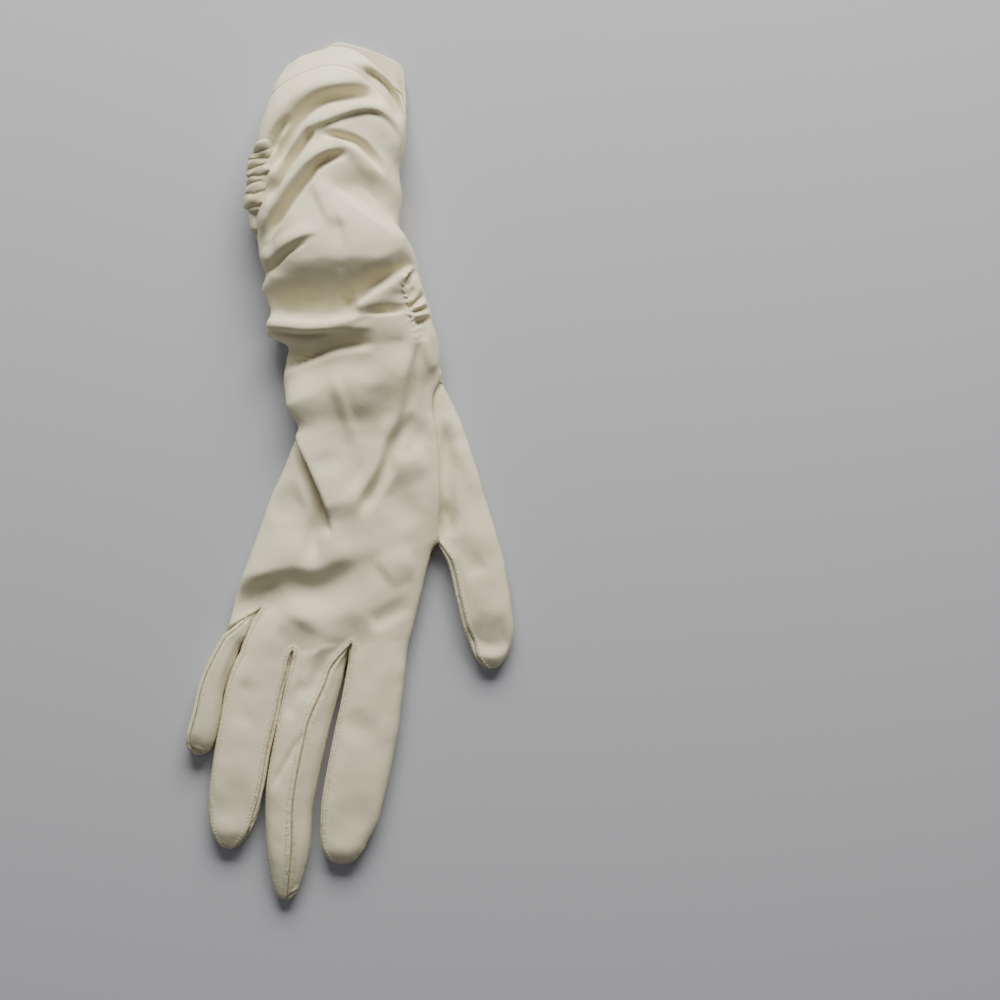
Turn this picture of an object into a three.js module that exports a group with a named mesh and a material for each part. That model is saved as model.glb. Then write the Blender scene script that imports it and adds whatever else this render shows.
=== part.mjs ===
// A ruched dress glove of knitted jersey for the right hand, which lies on its palm and shows its back.
// Millimetres. X runs across the hand towards the thumb, Y from the fingertips to the arm opening,
// Z up from the surface that it rests on. The origin is on that surface, under the middle of the glove.
import * as THREE from 'three';

// Cloth
const WALL = 1;
const HEM_WALL = 1.5;
const SEAM_GAP = 0.35;
const LEAST_MITRE = 0.6;
const CORNER_REACH = 0.6;

// The grid of the cloth: the steps between its rows, and the columns of each finger's back and palm.
// Away from its seams the palm keeps only some of the rows, because it lies flat.
const SLEEVE_STEP = 3.5;
const HAND_STEP = 5;
const FINGER_STEP = 6;
const BACK_COLUMNS = 5;
const PALM_COLUMNS = 3;
const THUMB_COLUMNS = 10;
const PALM_KEEPS_EVERY = 2;
const HEM_ROWS = 2;

// How square the cross-sections are (2 is an ellipse), the part of a finger's height at which it is
// widest, and how far the underside is flattened
const ARM_FULLNESS = 2.4;
const FINGER_FULLNESS = 2.5;
const FINGER_WIDEST_AT = 0.47;
const REST_FLATTENING = 1.2;

// Towards the sides the folds fade out, and the thumb's mouth and the folds lean outwards
const FOLD_SIDE_FADE = 6;
const SIDE_LEAN = 3;

// Sections of the sleeve and the hand, from the opening to the knuckles: where the left and the right
// outline are, how far the row arches towards the opening, the height of the crown and of the side
// seams, the height of the thumb's mouth in the right side and the x of the thumb's far edge there
const SECTIONS = [
  ['leftX', 'leftY', 'rightX', 'rightY', 'arch', 'top', 'side', 'mouth', 'thumbX'],
  [-23.1, 152.3, 19.6, 153.0, 6.4, 15, 7.5, 0, 0],
  [-28.8, 142.5, 21.5, 143.3, 8, 21, 9.5, 0, 0],
  [-32.5, 129.4, 21.9, 133.1, 12, 24, 10.5, 0, 0],
  [-34.0, 120.0, 20.9, 120.8, 17, 25, 10.5, 0, 0],
  [-34.4, 111.0, 18.9, 111.0, 20, 25, 10.5, 0, 0],
  [-34.8, 101.6, 20.0, 101.6, 21, 25, 11.0, 0, 0],
  [-34.4, 89.6, 19.2, 89.6, 22, 25, 11.0, 0, 0],
  [-33.6, 83.6, 23.4, 83.6, 20, 25, 11.0, 0, 0],
  [-32.9, 78.0, 25.6, 78.0, 15, 25, 11.0, 0, 0],
  [-31.0, 72.8, 26.4, 72.8, 11, 24, 10.5, 0, 0],
  [-32.5, 67.1, 27.9, 67.1, 7, 23, 10.0, 0, 0],
  [-29.5, 59.6, 30.9, 59.6, 4, 21, 9.5, 0, 0],
  [-31.0, 54.4, 31.6, 54.4, 1, 21, 9.5, 0, 0],
  [-30.3, 50.2, 33.1, 50.2, 0, 20, 9.0, 0, 0],
  [-23.1, 46.5, 33.9, 46.5, 0, 18, 8.0, 0, 0],
  [-23.5, 40.9, 34.2, 40.9, 0, 17.5, 7.5, 0, 31.0],
  [-24.6, 35.2, 33.5, 35.2, 0, 16.5, 7.0, 0, 33.5],
  [-23.7, 28.5, 30.1, 28.5, 0, 15.5, 6.5, 3.5, 37.2],
  [-20.9, 22.5, 29.9, 22.5, 0, 14.5, 6.0, 5.0, 39.9],
  [-17.9, 16.1, 30.9, 16.1, 0, 13.5, 6.0, 6.0, 42.7],
  [-20.7, 10.5, 31.6, 10.5, 0, 12.5, 5.5, 6.5, 44.7],
  [-24.6, 1.1, 32.2, 1.1, 0, 12, 5.5, 6.5, 47.7],
  [-28.8, -8.2, 32.4, -8.2, 0, 11.5, 5.5, 6.5, 50.4],
  [-32.1, -16.9, 32.4, -16.9, 0, 11, 5.0, 5.0, 53.2],
  [-35.5, -26.2, 32.2, -25.9, 0, 11, 5.0, 0, 56.0],
  [-38.9, -35.6, 29.6, -35.6, 0, 10.5, 4.8, 0, 58.5],
  [-42.3, -45.0, 27.5, -45.0, 0, 10.5, 4.6, 0, 0],
  [-44.1, -52.5, 24.5, -57.0, 0, 10, 4.5, 0, 0],
  [-45.9, -58.7, 22.8, -63.8, 0, 10, 4.5, 0, 0],
];
const WRIST = 13;
const THUMB_STARTS = 16;
const THUMB_CROTCH = 24;
const OPENING_LIP = 3;

// The crotches between the fingers, from the little finger's to the index finger's, with the columns of
// the fork strip there, and how far up the hand its rows bend to meet them
const CROTCHES = [
  ['x', 'y', 'top', 'columns'],
  [-33.9, -51.8, 7.5, 4],
  [-21.3, -68.2, 6.5, 2],
  [0.7, -65.6, 6.5, 3],
];
const KNUCKLE_BEND_FROM = 12;
const CROTCH_DIP_REACH = 9;

// Folds and dents of the upper layer: a ridge (or, with a negative rise, a valley) on a bowed line, with
// the width of its flank on the left and on the right of its run
const FOLDS = [
  ['fromX', 'fromY', 'toX', 'toY', 'bow', 'rise', 'leftWidth', 'rightWidth'],
  [-31.8, 132.0, 20.0, 130.5, 24.4, 4.0, 8, 9],
  [-29.8, 114.5, 14.0, 141.0, 10.4, -3.2, 8, 6],
  [-31.3, 104.0, 20.5, 127.2, 19.0, 4.2, 8, 6],
  [-12.2, 121.9, 19.9, 115.1, 7.5, -3.0, 6, 8],
  [-34.0, 84.0, 3.5, 121.5, 7.4, 3.8, 6, 6],
  [-31.8, 84.5, -1.0, 117.0, 2.0, -2.8, 5, 7],
  [-8.5, 113.5, 25.4, 75.5, 4.0, 3.2, 9, 8],
  [-13.1, 109.8, -9.0, 80.7, 0, 2.8, 7, 9],
  [-32.5, 73.8, -6.0, 90.0, 1.8, 3.2, 7, 5],
  [-30.6, 69.5, -6.0, 85.5, 1.8, -2.4, 5, 7],
  [25.9, 80.3, 2.0, 79.0, 0, 2.2, 5, 6],
  [24.9, 77.5, -2.4, 67.0, 1.8, -2.8, 6, 5],
  [20.5, 77.2, -10.0, 56.0, 1.2, 2.4, 6, 5],
  [-18.0, 66.0, 7.0, 70.0, 0, -2.6, 8, 7],
  [1.7, 58.0, 26.6, 60.8, 0, -3.4, 5, 5],
  [-30.5, 53.0, 24.0, 54.2, 0.6, 3.4, 7, 6],
  [-24.4, 40.5, 23.5, 50.0, 3.2, -3.0, 6, 5],
  [-25.0, 37.2, 20.0, 49.0, -1.0, 2.2, 5, 9],
  [27.0, 54.6, 18.0, 18.0, 1.5, 3.2, 8, 5],
  [18.7, 24.0, 0.7, -20.0, 0, 2.2, 9, 6],
  [-5.6, 34.8, 1.4, 8.0, 0, 1.2, 7, 7],
  [-26.6, 37.5, -4.5, -27.0, 5.0, 2.6, 11, 5],
  [-37.0, -40.0, 12.0, -35.0, -4.5, -1.8, 8, 7],
];
const FOLD_ENDS_OVER = 0.2;

// Fingers: stations of the centre line, with the width across and the height of the crown, the last
// station being the tip. The seams are angles round the section, from 0 at the left over 90 at the top:
// where the back begins, where it ends, where the palm begins and where it ends. They turn from the
// first set to the second one over the first part of the finger, as the finger has rolled over.
const STATION = ['x', 'y', 'width', 'height'];
const FINGERS = [
  {
    name: 'little',
    stations: [
      STATION,
      [-45.0, -63.8, 6.4, 9],
      [-49.3, -73.9, 8.2, 9.5],
      [-52.1, -81.8, 8.9, 9.5],
      [-54.0, -91.5, 10.2, 9.5],
      [-56.0, -99.8, 10.8, 9],
      [-56.9, -104.4, 8.8, 7],
      [-57.1, -106.6, 4.6, 4.5],
      [-57.1, -107.2, 0, 2.6],
    ],
    knuckleSeams: [0, 141, 219, 360],
    tipSeams: [-105, 18, 195, 255],
    turnsOver: 30,
  },
  {
    name: 'ring',
    stations: [
      STATION,
      [-32.0, -72.0, 19.0, 9],
      [-35.2, -80.3, 20.8, 9],
      [-37.5, -91.7, 21.0, 9],
      [-40.0, -103.9, 20.2, 9],
      [-42.3, -118.5, 19.7, 9],
      [-43.8, -127.5, 18.2, 8.5],
      [-44.9, -134.6, 15.0, 7.5],
      [-45.3, -139.6, 9.6, 5.8],
      [-45.3, -142.0, 4.8, 4],
      [-45.3, -142.8, 0, 2.4],
    ],
    knuckleSeams: [39, 141, 219, 321],
    tipSeams: [39, 141, 219, 321],
    turnsOver: 22,
  },
  {
    name: 'middle',
    stations: [
      STATION,
      [-12.7, -76.1, 20.2, 9],
      [-15.6, -88.5, 19.3, 9.5],
      [-18.4, -101.3, 18.7, 10],
      [-21.5, -117.0, 18.2, 10],
      [-22.8, -127.5, 16.9, 9.5],
      [-23.0, -141.4, 15.6, 9],
      [-23.5, -151.1, 12.0, 7.5],
      [-24.0, -158.6, 7.4, 5],
      [-24.0, -161.3, 3.8, 3.6],
      [-24.0, -162.0, 0, 2.4],
    ],
    knuckleSeams: [39, 141, 219, 321],
    tipSeams: [-2, 102, 180, 280],
    turnsOver: 26,
  },
  {
    name: 'index',
    stations: [
      STATION,
      [10.4, -73.9, 21.3, 9],
      [8.3, -88.5, 22.3, 9],
      [5.7, -102.4, 23.1, 9],
      [2.7, -117.0, 22.8, 9],
      [0.3, -129.0, 21.7, 9],
      [-2.4, -139.5, 17.0, 8],
      [-3.5, -145.4, 11.8, 6],
      [-3.9, -147.7, 6.0, 4],
      [-4.0, -148.5, 0, 2.4],
    ],
    knuckleSeams: [36, 180, 180, 324],
    tipSeams: [36, 180, 180, 324],
    turnsOver: 22,
  },
];
const FORK_ENDS_BEFORE_TIP = 9;
const FORK_TAPER = 14;
const FORK_CLOSES_AT = 0.85;

// The free part of the thumb, past its crotch
const THUMB_STATIONS = [
  STATION,
  [46.6, -30.8, 21.0, 9.8],
  [48.2, -36.8, 20.6, 9.5],
  [50.2, -47.3, 20.1, 9.5],
  [52.2, -57.4, 19.0, 9],
  [53.2, -64.5, 16.5, 8],
  [53.4, -69.4, 12.4, 6.5],
  [53.5, -72.4, 8.2, 5],
  [53.4, -74.1, 4.4, 3.8],
  [53.4, -74.8, 0, 2.4],
];
const THUMB_SEAM_ANGLE = 35;
const THUMB_SET_IN_ANGLES = [90, 270];
const THUMB_CLOSING_ANGLES = [THUMB_SEAM_ANGLE, 350];
const THUMB_HEIGHT = 10;
const THUMB_CLOSES_OVER = 2.5;

// The gathered strips, which lie on the cloth: the sections they run between, the angles round the arm,
// the pleats and how far they stand out
const STRIPS = [
  { name: 'shirring_outer', from: 3, to: 6.2, angles: [-22, 30], pleats: 9, rise: 1.5 },
  { name: 'shirring_inner', from: 9.2, to: 13.4, angles: [141, 149], pleats: 7, rise: 0.8 },
];
const STRIP_COLUMNS = 3;
const ROWS_PER_PLEAT = 4;
const STRIP_CLEARANCE = 0.75;
const STRIP_EDGE_FADE = 0.15;

// How far apart the points are that give a slope: along the sections, round them in degrees, and along
// a finger's stations
const NEAR_PLACE = 0.05;
const NEAR_ANGLE = 2;
const HEADING_REACH = 0.3;

// Colours
const IVORY = { color: 0xe9e4cf, roughness: 0.85, metalness: 0 };
const IVORY_SHADE = { color: 0xdcd5bc, roughness: 0.88, metalness: 0 };

const lerp = (a, b, t) => a + (b - a) * t;
const clamp01 = (t) => Math.min(1, Math.max(0, t));
const smooth = (t) => clamp01(t) ** 2 * (3 - 2 * clamp01(t));
const degrees = (a) => (a * Math.PI) / 180;

// The rows of a table as objects keyed by its first row.
function rowsOf([columns, ...rows]) {
  return rows.map((row) => Object.fromEntries(columns.map((name, i) => [name, row[i]])));
}

// A row part way between rows of a table, on a smooth curve through them all.
function rowAt(rows, place) {
  const i = Math.min(rows.length - 2, Math.max(0, Math.floor(place)));
  const t = place - i;
  const near = [-1, 0, 1, 2].map((step) => rows[Math.min(rows.length - 1, Math.max(0, i + step))]);
  const blended = {};
  for (const name of Object.keys(near[1])) {
    const [a, b, c, d] = near.map((row) => row[name]);
    const bend = (c - a) * t + (2 * a - 5 * b + 4 * c - d) * t * t + (3 * b - 3 * c + d - a) * t ** 3;
    blended[name] = b + 0.5 * bend;
  }
  return blended;
}

const sections = rowsOf(SECTIONS);
const crotches = rowsOf(CROTCHES);
const folds = rowsOf(FOLDS);

// The places of the rows, hitting every section and splitting the wide stretches between them.
function placesThrough(rows, distance, stepAt) {
  const places = [0];
  for (let i = 1; i < rows.length; i++) {
    const parts = Math.max(1, Math.round(distance(rows[i - 1], rows[i]) / stepAt(i)));
    for (let k = 1; k <= parts; k++) places.push(i - 1 + k / parts);
  }
  return places;
}

// How far the cloth stands up at a point of the plan, as the sum of its folds.
function foldRise(x, y) {
  let rise = 0;
  for (const fold of folds) {
    const alongX = fold.toX - fold.fromX;
    const alongY = fold.toY - fold.fromY;
    const length = Math.hypot(alongX, alongY);
    const run = ((x - fold.fromX) * alongX + (y - fold.fromY) * alongY) / length ** 2;
    const aside = ((y - fold.fromY) * alongX - (x - fold.fromX) * alongY) / length;
    const off = aside - fold.bow * 4 * run * (1 - run);
    const width = off > 0 ? fold.leftWidth : fold.rightWidth;
    const flank = clamp01(1 - Math.abs(off) / width);
    const taper = smooth(run / FOLD_ENDS_OVER) * smooth((1 - run) / FOLD_ENDS_OVER);
    rise += fold.rise * smooth(flank) * taper;
  }
  return rise;
}

// The crown of a cross-section at q, which runs from -1 at the left side to 1 at the right.
function crown(q, fullness) {
  return (1 - Math.min(1, Math.abs(q)) ** fullness) ** (1 / fullness);
}

// The knuckle line: q of each column and how far it lies from the straight row.
const knuckles = sections[sections.length - 1];
const knuckleWidth = knuckles.rightX - knuckles.leftX;
const knuckleStops = [-1, ...crotches.map(({ x }) => ((x - knuckles.leftX) / knuckleWidth) * 2 - 1), 1];
const knuckleShifts = crotches.map(({ x, y }) => {
  const across = (x - knuckles.leftX) / knuckleWidth;
  return y - lerp(knuckles.leftY, knuckles.rightY, across);
});

function knuckleColumn(part) {
  const finger = Math.min(3, Math.floor(part * 4));
  const t = part * 4 - finger;
  const shifts = [0, ...knuckleShifts, 0];
  return {
    q: lerp(knuckleStops[finger], knuckleStops[finger + 1], t),
    shift: lerp(shifts[finger], shifts[finger + 1], t),
  };
}

// The point of the sleeve or hand at a place along the sections, part of the way across from the left
// seam to the right one, on the back or on the palm.
function armPoint(place, part, onBack) {
  const s = rowAt(sections, place);
  const bend = smooth((KNUCKLE_BEND_FROM - s.leftY) / (KNUCKLE_BEND_FROM - knuckles.leftY));
  const knuckle = knuckleColumn(part);
  const q = lerp(-Math.cos(Math.PI * part), knuckle.q, bend);
  const across = (q + 1) / 2;
  const opening = clamp01(1 - place);
  const arch = (s.arch + (onBack ? 0 : OPENING_LIP * opening)) * (1 - q * q);
  const x = lerp(s.leftX, s.rightX, across);
  const y = lerp(s.leftY, s.rightY, across) + arch + knuckle.shift * bend ** 2;
  const mouth = (Math.max(0, s.mouth) / 2) * clamp01(q) ** SIDE_LEAN;
  const height = crown(q, ARM_FULLNESS);
  if (!onBack) return [x, y, Math.max(0, (s.side - mouth) * (1 - REST_FLATTENING * height))];
  const low = s.side + mouth;
  const dip = Math.max(0, ...crotches.map((c) => {
    const near = clamp01(1 - Math.hypot(x - c.x, y - c.y) / CROTCH_DIP_REACH);
    return (s.top - c.top) * smooth(near);
  }));
  const rise = foldRise(x, y) * (1 - Math.abs(q) ** FOLD_SIDE_FADE);
  const flare = Math.abs(q) ** SIDE_LEAN * Math.sign(q);
  const lift = Math.hypot(flare, 1);
  return [x + (rise * flare) / lift, y, low + (s.top - low) * height + rise / lift - dip];
}

// A skin is the whole outer surface, as faces that each belong to one piece of cloth.
class Skin {
  points = [];
  ids = new Map();
  faces = [];

  vertex(point) {
    const key = point.map((value) => Math.round(value * 1e4)).join(' ');
    if (!this.ids.has(key)) {
      this.ids.set(key, this.points.length);
      this.points.push(new THREE.Vector3(...point));
    }
    return this.ids.get(key);
  }

  // A face is dropped where its corners fall together, and a quad becomes two triangles.
  face(piece, ids) {
    const corners = ids.filter((id, i) => id !== ids[(i + 1) % ids.length]);
    if (corners.length < 3 || new Set(corners).size < corners.length) return;
    if (corners.length === 3) {
      this.faces.push({ piece, corners });
      return;
    }
    const [a, b, c, d] = corners;
    const [pa, pb, pc, pd] = corners.map((id) => this.points[id]);
    const halves = pa.distanceTo(pc) <= pb.distanceTo(pd) ? [[a, b, c], [a, c, d]] : [[a, b, d], [b, c, d]];
    for (const half of halves) this.faces.push({ piece, corners: half });
  }

  // Rows run towards the fingertips, and their points clockwise round the arm as seen from the opening.
  grid(piece, rows) {
    const ids = rows.map((row) => row.map((point) => this.vertex(point)));
    for (let i = 1; i < ids.length; i++)
      for (let j = 1; j < ids[i].length; j++)
        this.face(piece, [ids[i - 1][j - 1], ids[i][j - 1], ids[i][j], ids[i - 1][j]]);
  }

  // The same cloth with only some of its rows kept between its two long edges.
  thinnedGrid(piece, rows, keepEvery) {
    const last = rows.length - 1;
    const kept = rows.filter((_, i) => i === last || (i % keepEvery === 0 && i < last));
    const width = rows[0].length - 1;
    this.grid(piece, kept.map((row) => row.slice(1, width)));
    this.zip(piece, rows.map((row) => row[0]), kept.map((row) => row[1]));
    this.zip(piece, kept.map((row) => row[width - 1]), rows.map((row) => row[width]));
  }

  // Triangles between two lines that run side by side towards the fingertips, the left one first.
  zip(piece, left, right) {
    const [a, b] = [left, right].map((line) => line.map((point) => this.vertex(point)));
    let [i, j] = [0, 0];
    while (i < a.length - 1 || j < b.length - 1) {
      const leftIsBehind = i / (a.length - 1) <= j / (b.length - 1);
      if (j === b.length - 1 || (i < a.length - 1 && leftIsBehind)) {
        this.face(piece, [a[i], a[i + 1], b[j]]);
        i += 1;
      } else {
        this.face(piece, [a[i], b[j + 1], b[j]]);
        j += 1;
      }
    }
  }

  // How far inwards each point's inner twin lies, as a direction for a wall of 1. Where pieces meet at an
  // angle each one counts alike, and the twin lies on the mitre between them.
  insets() {
    const sums = this.points.map(() => new Map());
    for (const { piece, corners } of this.faces) {
      const [a, b, c] = corners.map((id) => this.points[id]);
      const across = new THREE.Vector3().subVectors(c, a);
      const normal = new THREE.Vector3().subVectors(b, a).cross(across).normalize();
      corners.forEach((id, i) => {
        const one = this.points[corners[(i + 1) % 3]].clone().sub(this.points[id]);
        const other = this.points[corners[(i + 2) % 3]].clone().sub(this.points[id]);
        if (!sums[id].has(piece)) sums[id].set(piece, new THREE.Vector3());
        sums[id].get(piece).addScaledVector(normal, one.angleTo(other));
      });
    }
    return sums.map((byPiece) => {
      const normals = [...byPiece.values()].map((sum) => sum.normalize());
      const mean = normals.reduce((sum, normal) => sum.add(normal), new THREE.Vector3()).normalize();
      const slant = Math.min(1, ...normals.map((normal) => normal.dot(mean)));
      return mean.multiplyScalar(-1 / Math.max(LEAST_MITRE, slant));
    });
  }

  // The edges that only one face of the list uses, each with the direction into that face.
  static openEdges(faces) {
    const open = new Map();
    for (const { corners } of faces)
      corners.forEach((from, i) => {
        const to = corners[(i + 1) % 3];
        if (!open.delete(`${to} ${from}`)) open.set(`${from} ${to}`, [from, to, corners[(i + 2) % 3]]);
      });
    return [...open.values()];
  }

  // One piece as a closed wall: its outer face, the same face set inwards, and the rim between them. The
  // seams to other pieces are opened by half a gap.
  piece(name, wall, material) {
    const faces = this.faces.filter((face) => face.piece === name);
    const insets = this.insets();
    const freeEdges = new Set(Skin.openEdges(this.faces).map(([from, to]) => `${from} ${to}`));
    const rim = Skin.openEdges(faces);
    const drawn = new Map();
    for (const [from, to, inside] of rim) {
      if (freeEdges.has(`${from} ${to}`)) continue;
      const edge = this.points[to].clone().sub(this.points[from]).normalize();
      const into = this.points[inside].clone().sub(this.points[from]);
      into.addScaledVector(edge, -into.dot(edge)).normalize();
      for (const id of [from, to]) {
        if (!drawn.has(id)) drawn.set(id, []);
        drawn.get(id).push(into);
      }
    }
    const numbers = new Map();
    const positions = [];
    const outer = (id) => {
      if (!numbers.has(id)) {
        const shift = new THREE.Vector3();
        const pulls = drawn.get(id) ?? [];
        for (const pull of pulls) shift.add(pull);
        const reach = ((SEAM_GAP / 2) * pulls.length) / shift.length();
        if (pulls.length) shift.setLength(Math.min(CORNER_REACH, reach));
        const at = this.points[id].clone().add(shift);
        at.z = Math.max(0, at.z);
        numbers.set(id, positions.length / 3);
        positions.push(...at, ...at.clone().addScaledVector(insets[id], wall));
      }
      return numbers.get(id);
    };
    const index = [];
    for (const { corners } of faces) {
      const [a, b, c] = corners.map(outer);
      index.push(a, b, c, a + 1, c + 1, b + 1);
    }
    for (const [from, to] of rim) {
      const [a, b] = [outer(from), outer(to)];
      if (from < to) index.push(a, a + 1, b, b, a + 1, b + 1);
      else index.push(a, a + 1, b + 1, a, b + 1, b);
    }
    const geometry = new THREE.BufferGeometry();
    geometry.setAttribute('position', new THREE.Float32BufferAttribute(positions, 3));
    geometry.setIndex(index);
    geometry.computeVertexNormals();
    const mesh = new THREE.Mesh(geometry, new THREE.MeshStandardMaterial(material));
    mesh.name = name;
    return mesh;
  }
}

const spread = (from, to, parts) => Array.from({ length: parts + 1 }, (_, i) => lerp(from, to, i / parts));
const crownDistance = (a, b) => (a.leftY + a.rightY - b.leftY - b.rightY) / 2 + a.arch - b.arch;
const armPlaces = placesThrough(sections, crownDistance, (i) => (i > WRIST ? HAND_STEP : SLEEVE_STEP));
const backParts = spread(0, 1, 4 * BACK_COLUMNS);
const palmParts = spread(1, 0, 4 * PALM_COLUMNS);

// The sleeve and the hand: a hem, then the back and the palm down to the knuckles.
function addArm(skin) {
  const back = armPlaces.map((place) => backParts.map((part) => armPoint(place, part, true)));
  const palm = armPlaces.map((place) => palmParts.map((part) => armPoint(place, part, false)));
  for (const rows of [back, palm]) skin.grid('opening_hem', rows.slice(0, HEM_ROWS + 1));
  skin.grid('trank_back', back.slice(HEM_ROWS));
  skin.thinnedGrid('trank_palm', palm.slice(HEM_ROWS), PALM_KEEPS_EVERY);
  return { back: back[back.length - 1], palm: palm[palm.length - 1] };
}

// A point of a finger's section at an angle, on a centre line that heads the way of `ahead`.
function fingerPoint(station, ahead, angle) {
  const c = Math.cos(degrees(angle));
  const s = Math.sin(degrees(angle));
  const power = 2 / FINGER_FULLNESS;
  const side = (-Math.sign(c) * Math.abs(c) ** power * station.width) / 2;
  const up = Math.sign(s) * Math.abs(s) ** power;
  const middle = station.height * FINGER_WIDEST_AT;
  const reach = up > 0 ? station.height - middle : middle * REST_FLATTENING;
  return [
    station.x - ahead[1] * side,
    station.y + ahead[0] * side,
    Math.max(0, middle + up * reach),
  ];
}

// The way that a centre line heads at a place.
function headingAt(stations, place) {
  const before = rowAt(stations, Math.max(0, place - HEADING_REACH));
  const after = rowAt(stations, Math.min(stations.length - 1, place + HEADING_REACH));
  const length = Math.hypot(after.x - before.x, after.y - before.y);
  return [(after.x - before.x) / length, (after.y - before.y) / length];
}

const stationDistance = (a, b) => Math.hypot(a.x - b.x, a.y - b.y);

// The four seams of a finger at a distance from its knuckle and from its tip.
function seamsAt(finger, fromKnuckle, toTip) {
  const turned = smooth(fromKnuckle / finger.turnsOver);
  const seams = finger.knuckleSeams.map((angle, i) => lerp(angle, finger.tipSeams[i], turned));
  const narrowed = smooth((FORK_ENDS_BEFORE_TIP + FORK_TAPER - toTip) / FORK_TAPER);
  const closed = narrowed > FORK_CLOSES_AT ? 1 : narrowed;
  const right = (seams[1] + seams[2]) / 2;
  const left = (seams[0] + seams[3] - 360) / 2;
  return [
    lerp(seams[0], left, closed),
    lerp(seams[1], right, closed),
    lerp(seams[2], right, closed),
    lerp(seams[3], left + 360, closed),
  ];
}

// One finger: its back, the fork on its right, its palm side and the fork on its left, from the knuckle
// line to the tip.
function addFinger(skin, number, knuckleLine, crotchColumns) {
  const finger = FINGERS[number];
  const stations = rowsOf(finger.stations);
  const places = placesThrough(stations, stationDistance, () => FINGER_STEP);
  const at = places.map((place) => rowAt(stations, place));
  const lengths = [0];
  for (let i = 1; i < at.length; i++) lengths.push(lengths[i - 1] + stationDistance(at[i - 1], at[i]));
  const total = lengths[lengths.length - 1];
  const leftFork = crotchColumns[number - 1];
  const rightFork = crotchColumns[number];
  const backFrom = number * BACK_COLUMNS;
  const palmFrom = (3 - number) * PALM_COLUMNS;
  const backStart = knuckleLine.back.slice(backFrom, backFrom + BACK_COLUMNS + 1);
  const palmStart = knuckleLine.palm.slice(palmFrom, palmFrom + PALM_COLUMNS + 1);
  const sides = [
    { piece: 'trank_back', start: backStart, cut: [0, 1] },
    { piece: rightFork?.piece, start: rightFork?.points, cut: [1, 2] },
    { piece: 'trank_palm', start: palmStart, cut: [2, 3] },
    { piece: leftFork?.piece, start: leftFork?.points.toReversed(), cut: [3, 0] },
  ];
  const tip = stations[stations.length - 1];
  for (const { piece, start, cut } of sides) {
    if (!piece) continue;
    const rows = [start];
    const parts = start.length - 1;
    at.slice(0, -1).forEach((station, i) => {
      const seams = seamsAt(finger, lengths[i] + FINGER_STEP, total - lengths[i]);
      const [from, to] = cut[1] ? [seams[cut[0]], seams[cut[1]]] : [seams[3], seams[0] + 360];
      const ahead = headingAt(stations, places[i]);
      rows.push(spread(from, to, parts).map((angle) => fingerPoint(station, ahead, angle)));
    });
    if (piece.startsWith('trank')) rows.push(Array(parts + 1).fill([tip.x, tip.y, tip.height]));
    skin.grid(piece, rows);
  }
}

// The strips of cloth between the fingers start in a short upright column at each crotch.
function crotchColumnsOf(knuckleLine) {
  const names = ['fourchette_ring_little', 'fourchette_middle_ring', 'fourchette_index_middle'];
  return names.map((piece, k) => {
    const top = knuckleLine.back[(k + 1) * BACK_COLUMNS];
    const bottom = knuckleLine.palm[(3 - k) * PALM_COLUMNS];
    const steps = spread(0, 1, crotches[k].columns);
    return { piece, points: steps.map((t) => top.map((value, i) => lerp(value, bottom[i], t))) };
  });
}

// The thumb: a sheet that is set into the side of the hand, then closes into a tube past its crotch.
function addThumb(skin) {
  const rows = [];
  for (const place of armPlaces.filter((p) => p >= THUMB_STARTS && p <= THUMB_CROTCH)) {
    const s = rowAt(sections, place);
    const top = armPoint(place, 1, true);
    const bottom = armPoint(place, 1, false);
    const closing = smooth((place - THUMB_CROTCH + THUMB_CLOSES_OVER) / THUMB_CLOSES_OVER);
    const reach = s.thumbX - s.rightX;
    const station = {
      x: s.rightX + (reach / 2) * closing,
      y: s.rightY,
      width: reach * (2 - closing),
      height: lerp(top[2], THUMB_HEIGHT, closing),
    };
    const [from, to] = [0, 1].map((i) => lerp(THUMB_SET_IN_ANGLES[i], THUMB_CLOSING_ANGLES[i], closing));
    const angles = spread(from, to, THUMB_COLUMNS).slice(1, -1);
    const between = angles.map((angle) => (place > THUMB_STARTS ? fingerPoint(station, [0, -1], angle) : top));
    rows.push([top, ...between, bottom]);
  }
  const stations = rowsOf(THUMB_STATIONS);
  const places = placesThrough(stations, stationDistance, () => FINGER_STEP);
  for (const place of places.slice(0, -1)) {
    const angles = spread(THUMB_SEAM_ANGLE, THUMB_SEAM_ANGLE + 360, THUMB_COLUMNS);
    const ahead = headingAt(stations, place);
    rows.push(angles.map((angle) => fingerPoint(rowAt(stations, place), ahead, angle)));
  }
  const tip = stations[stations.length - 1];
  rows.push(Array(THUMB_COLUMNS + 1).fill([tip.x, tip.y, tip.height]));
  skin.grid('thumb', rows);
}

// The point of the sleeve at an angle round it, from 0 at the left seam over 90 on the crown.
function sleevePoint(place, angle) {
  const part = Math.abs(angle) / 180;
  return new THREE.Vector3(...armPoint(place, part, angle >= 0));
}

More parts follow.
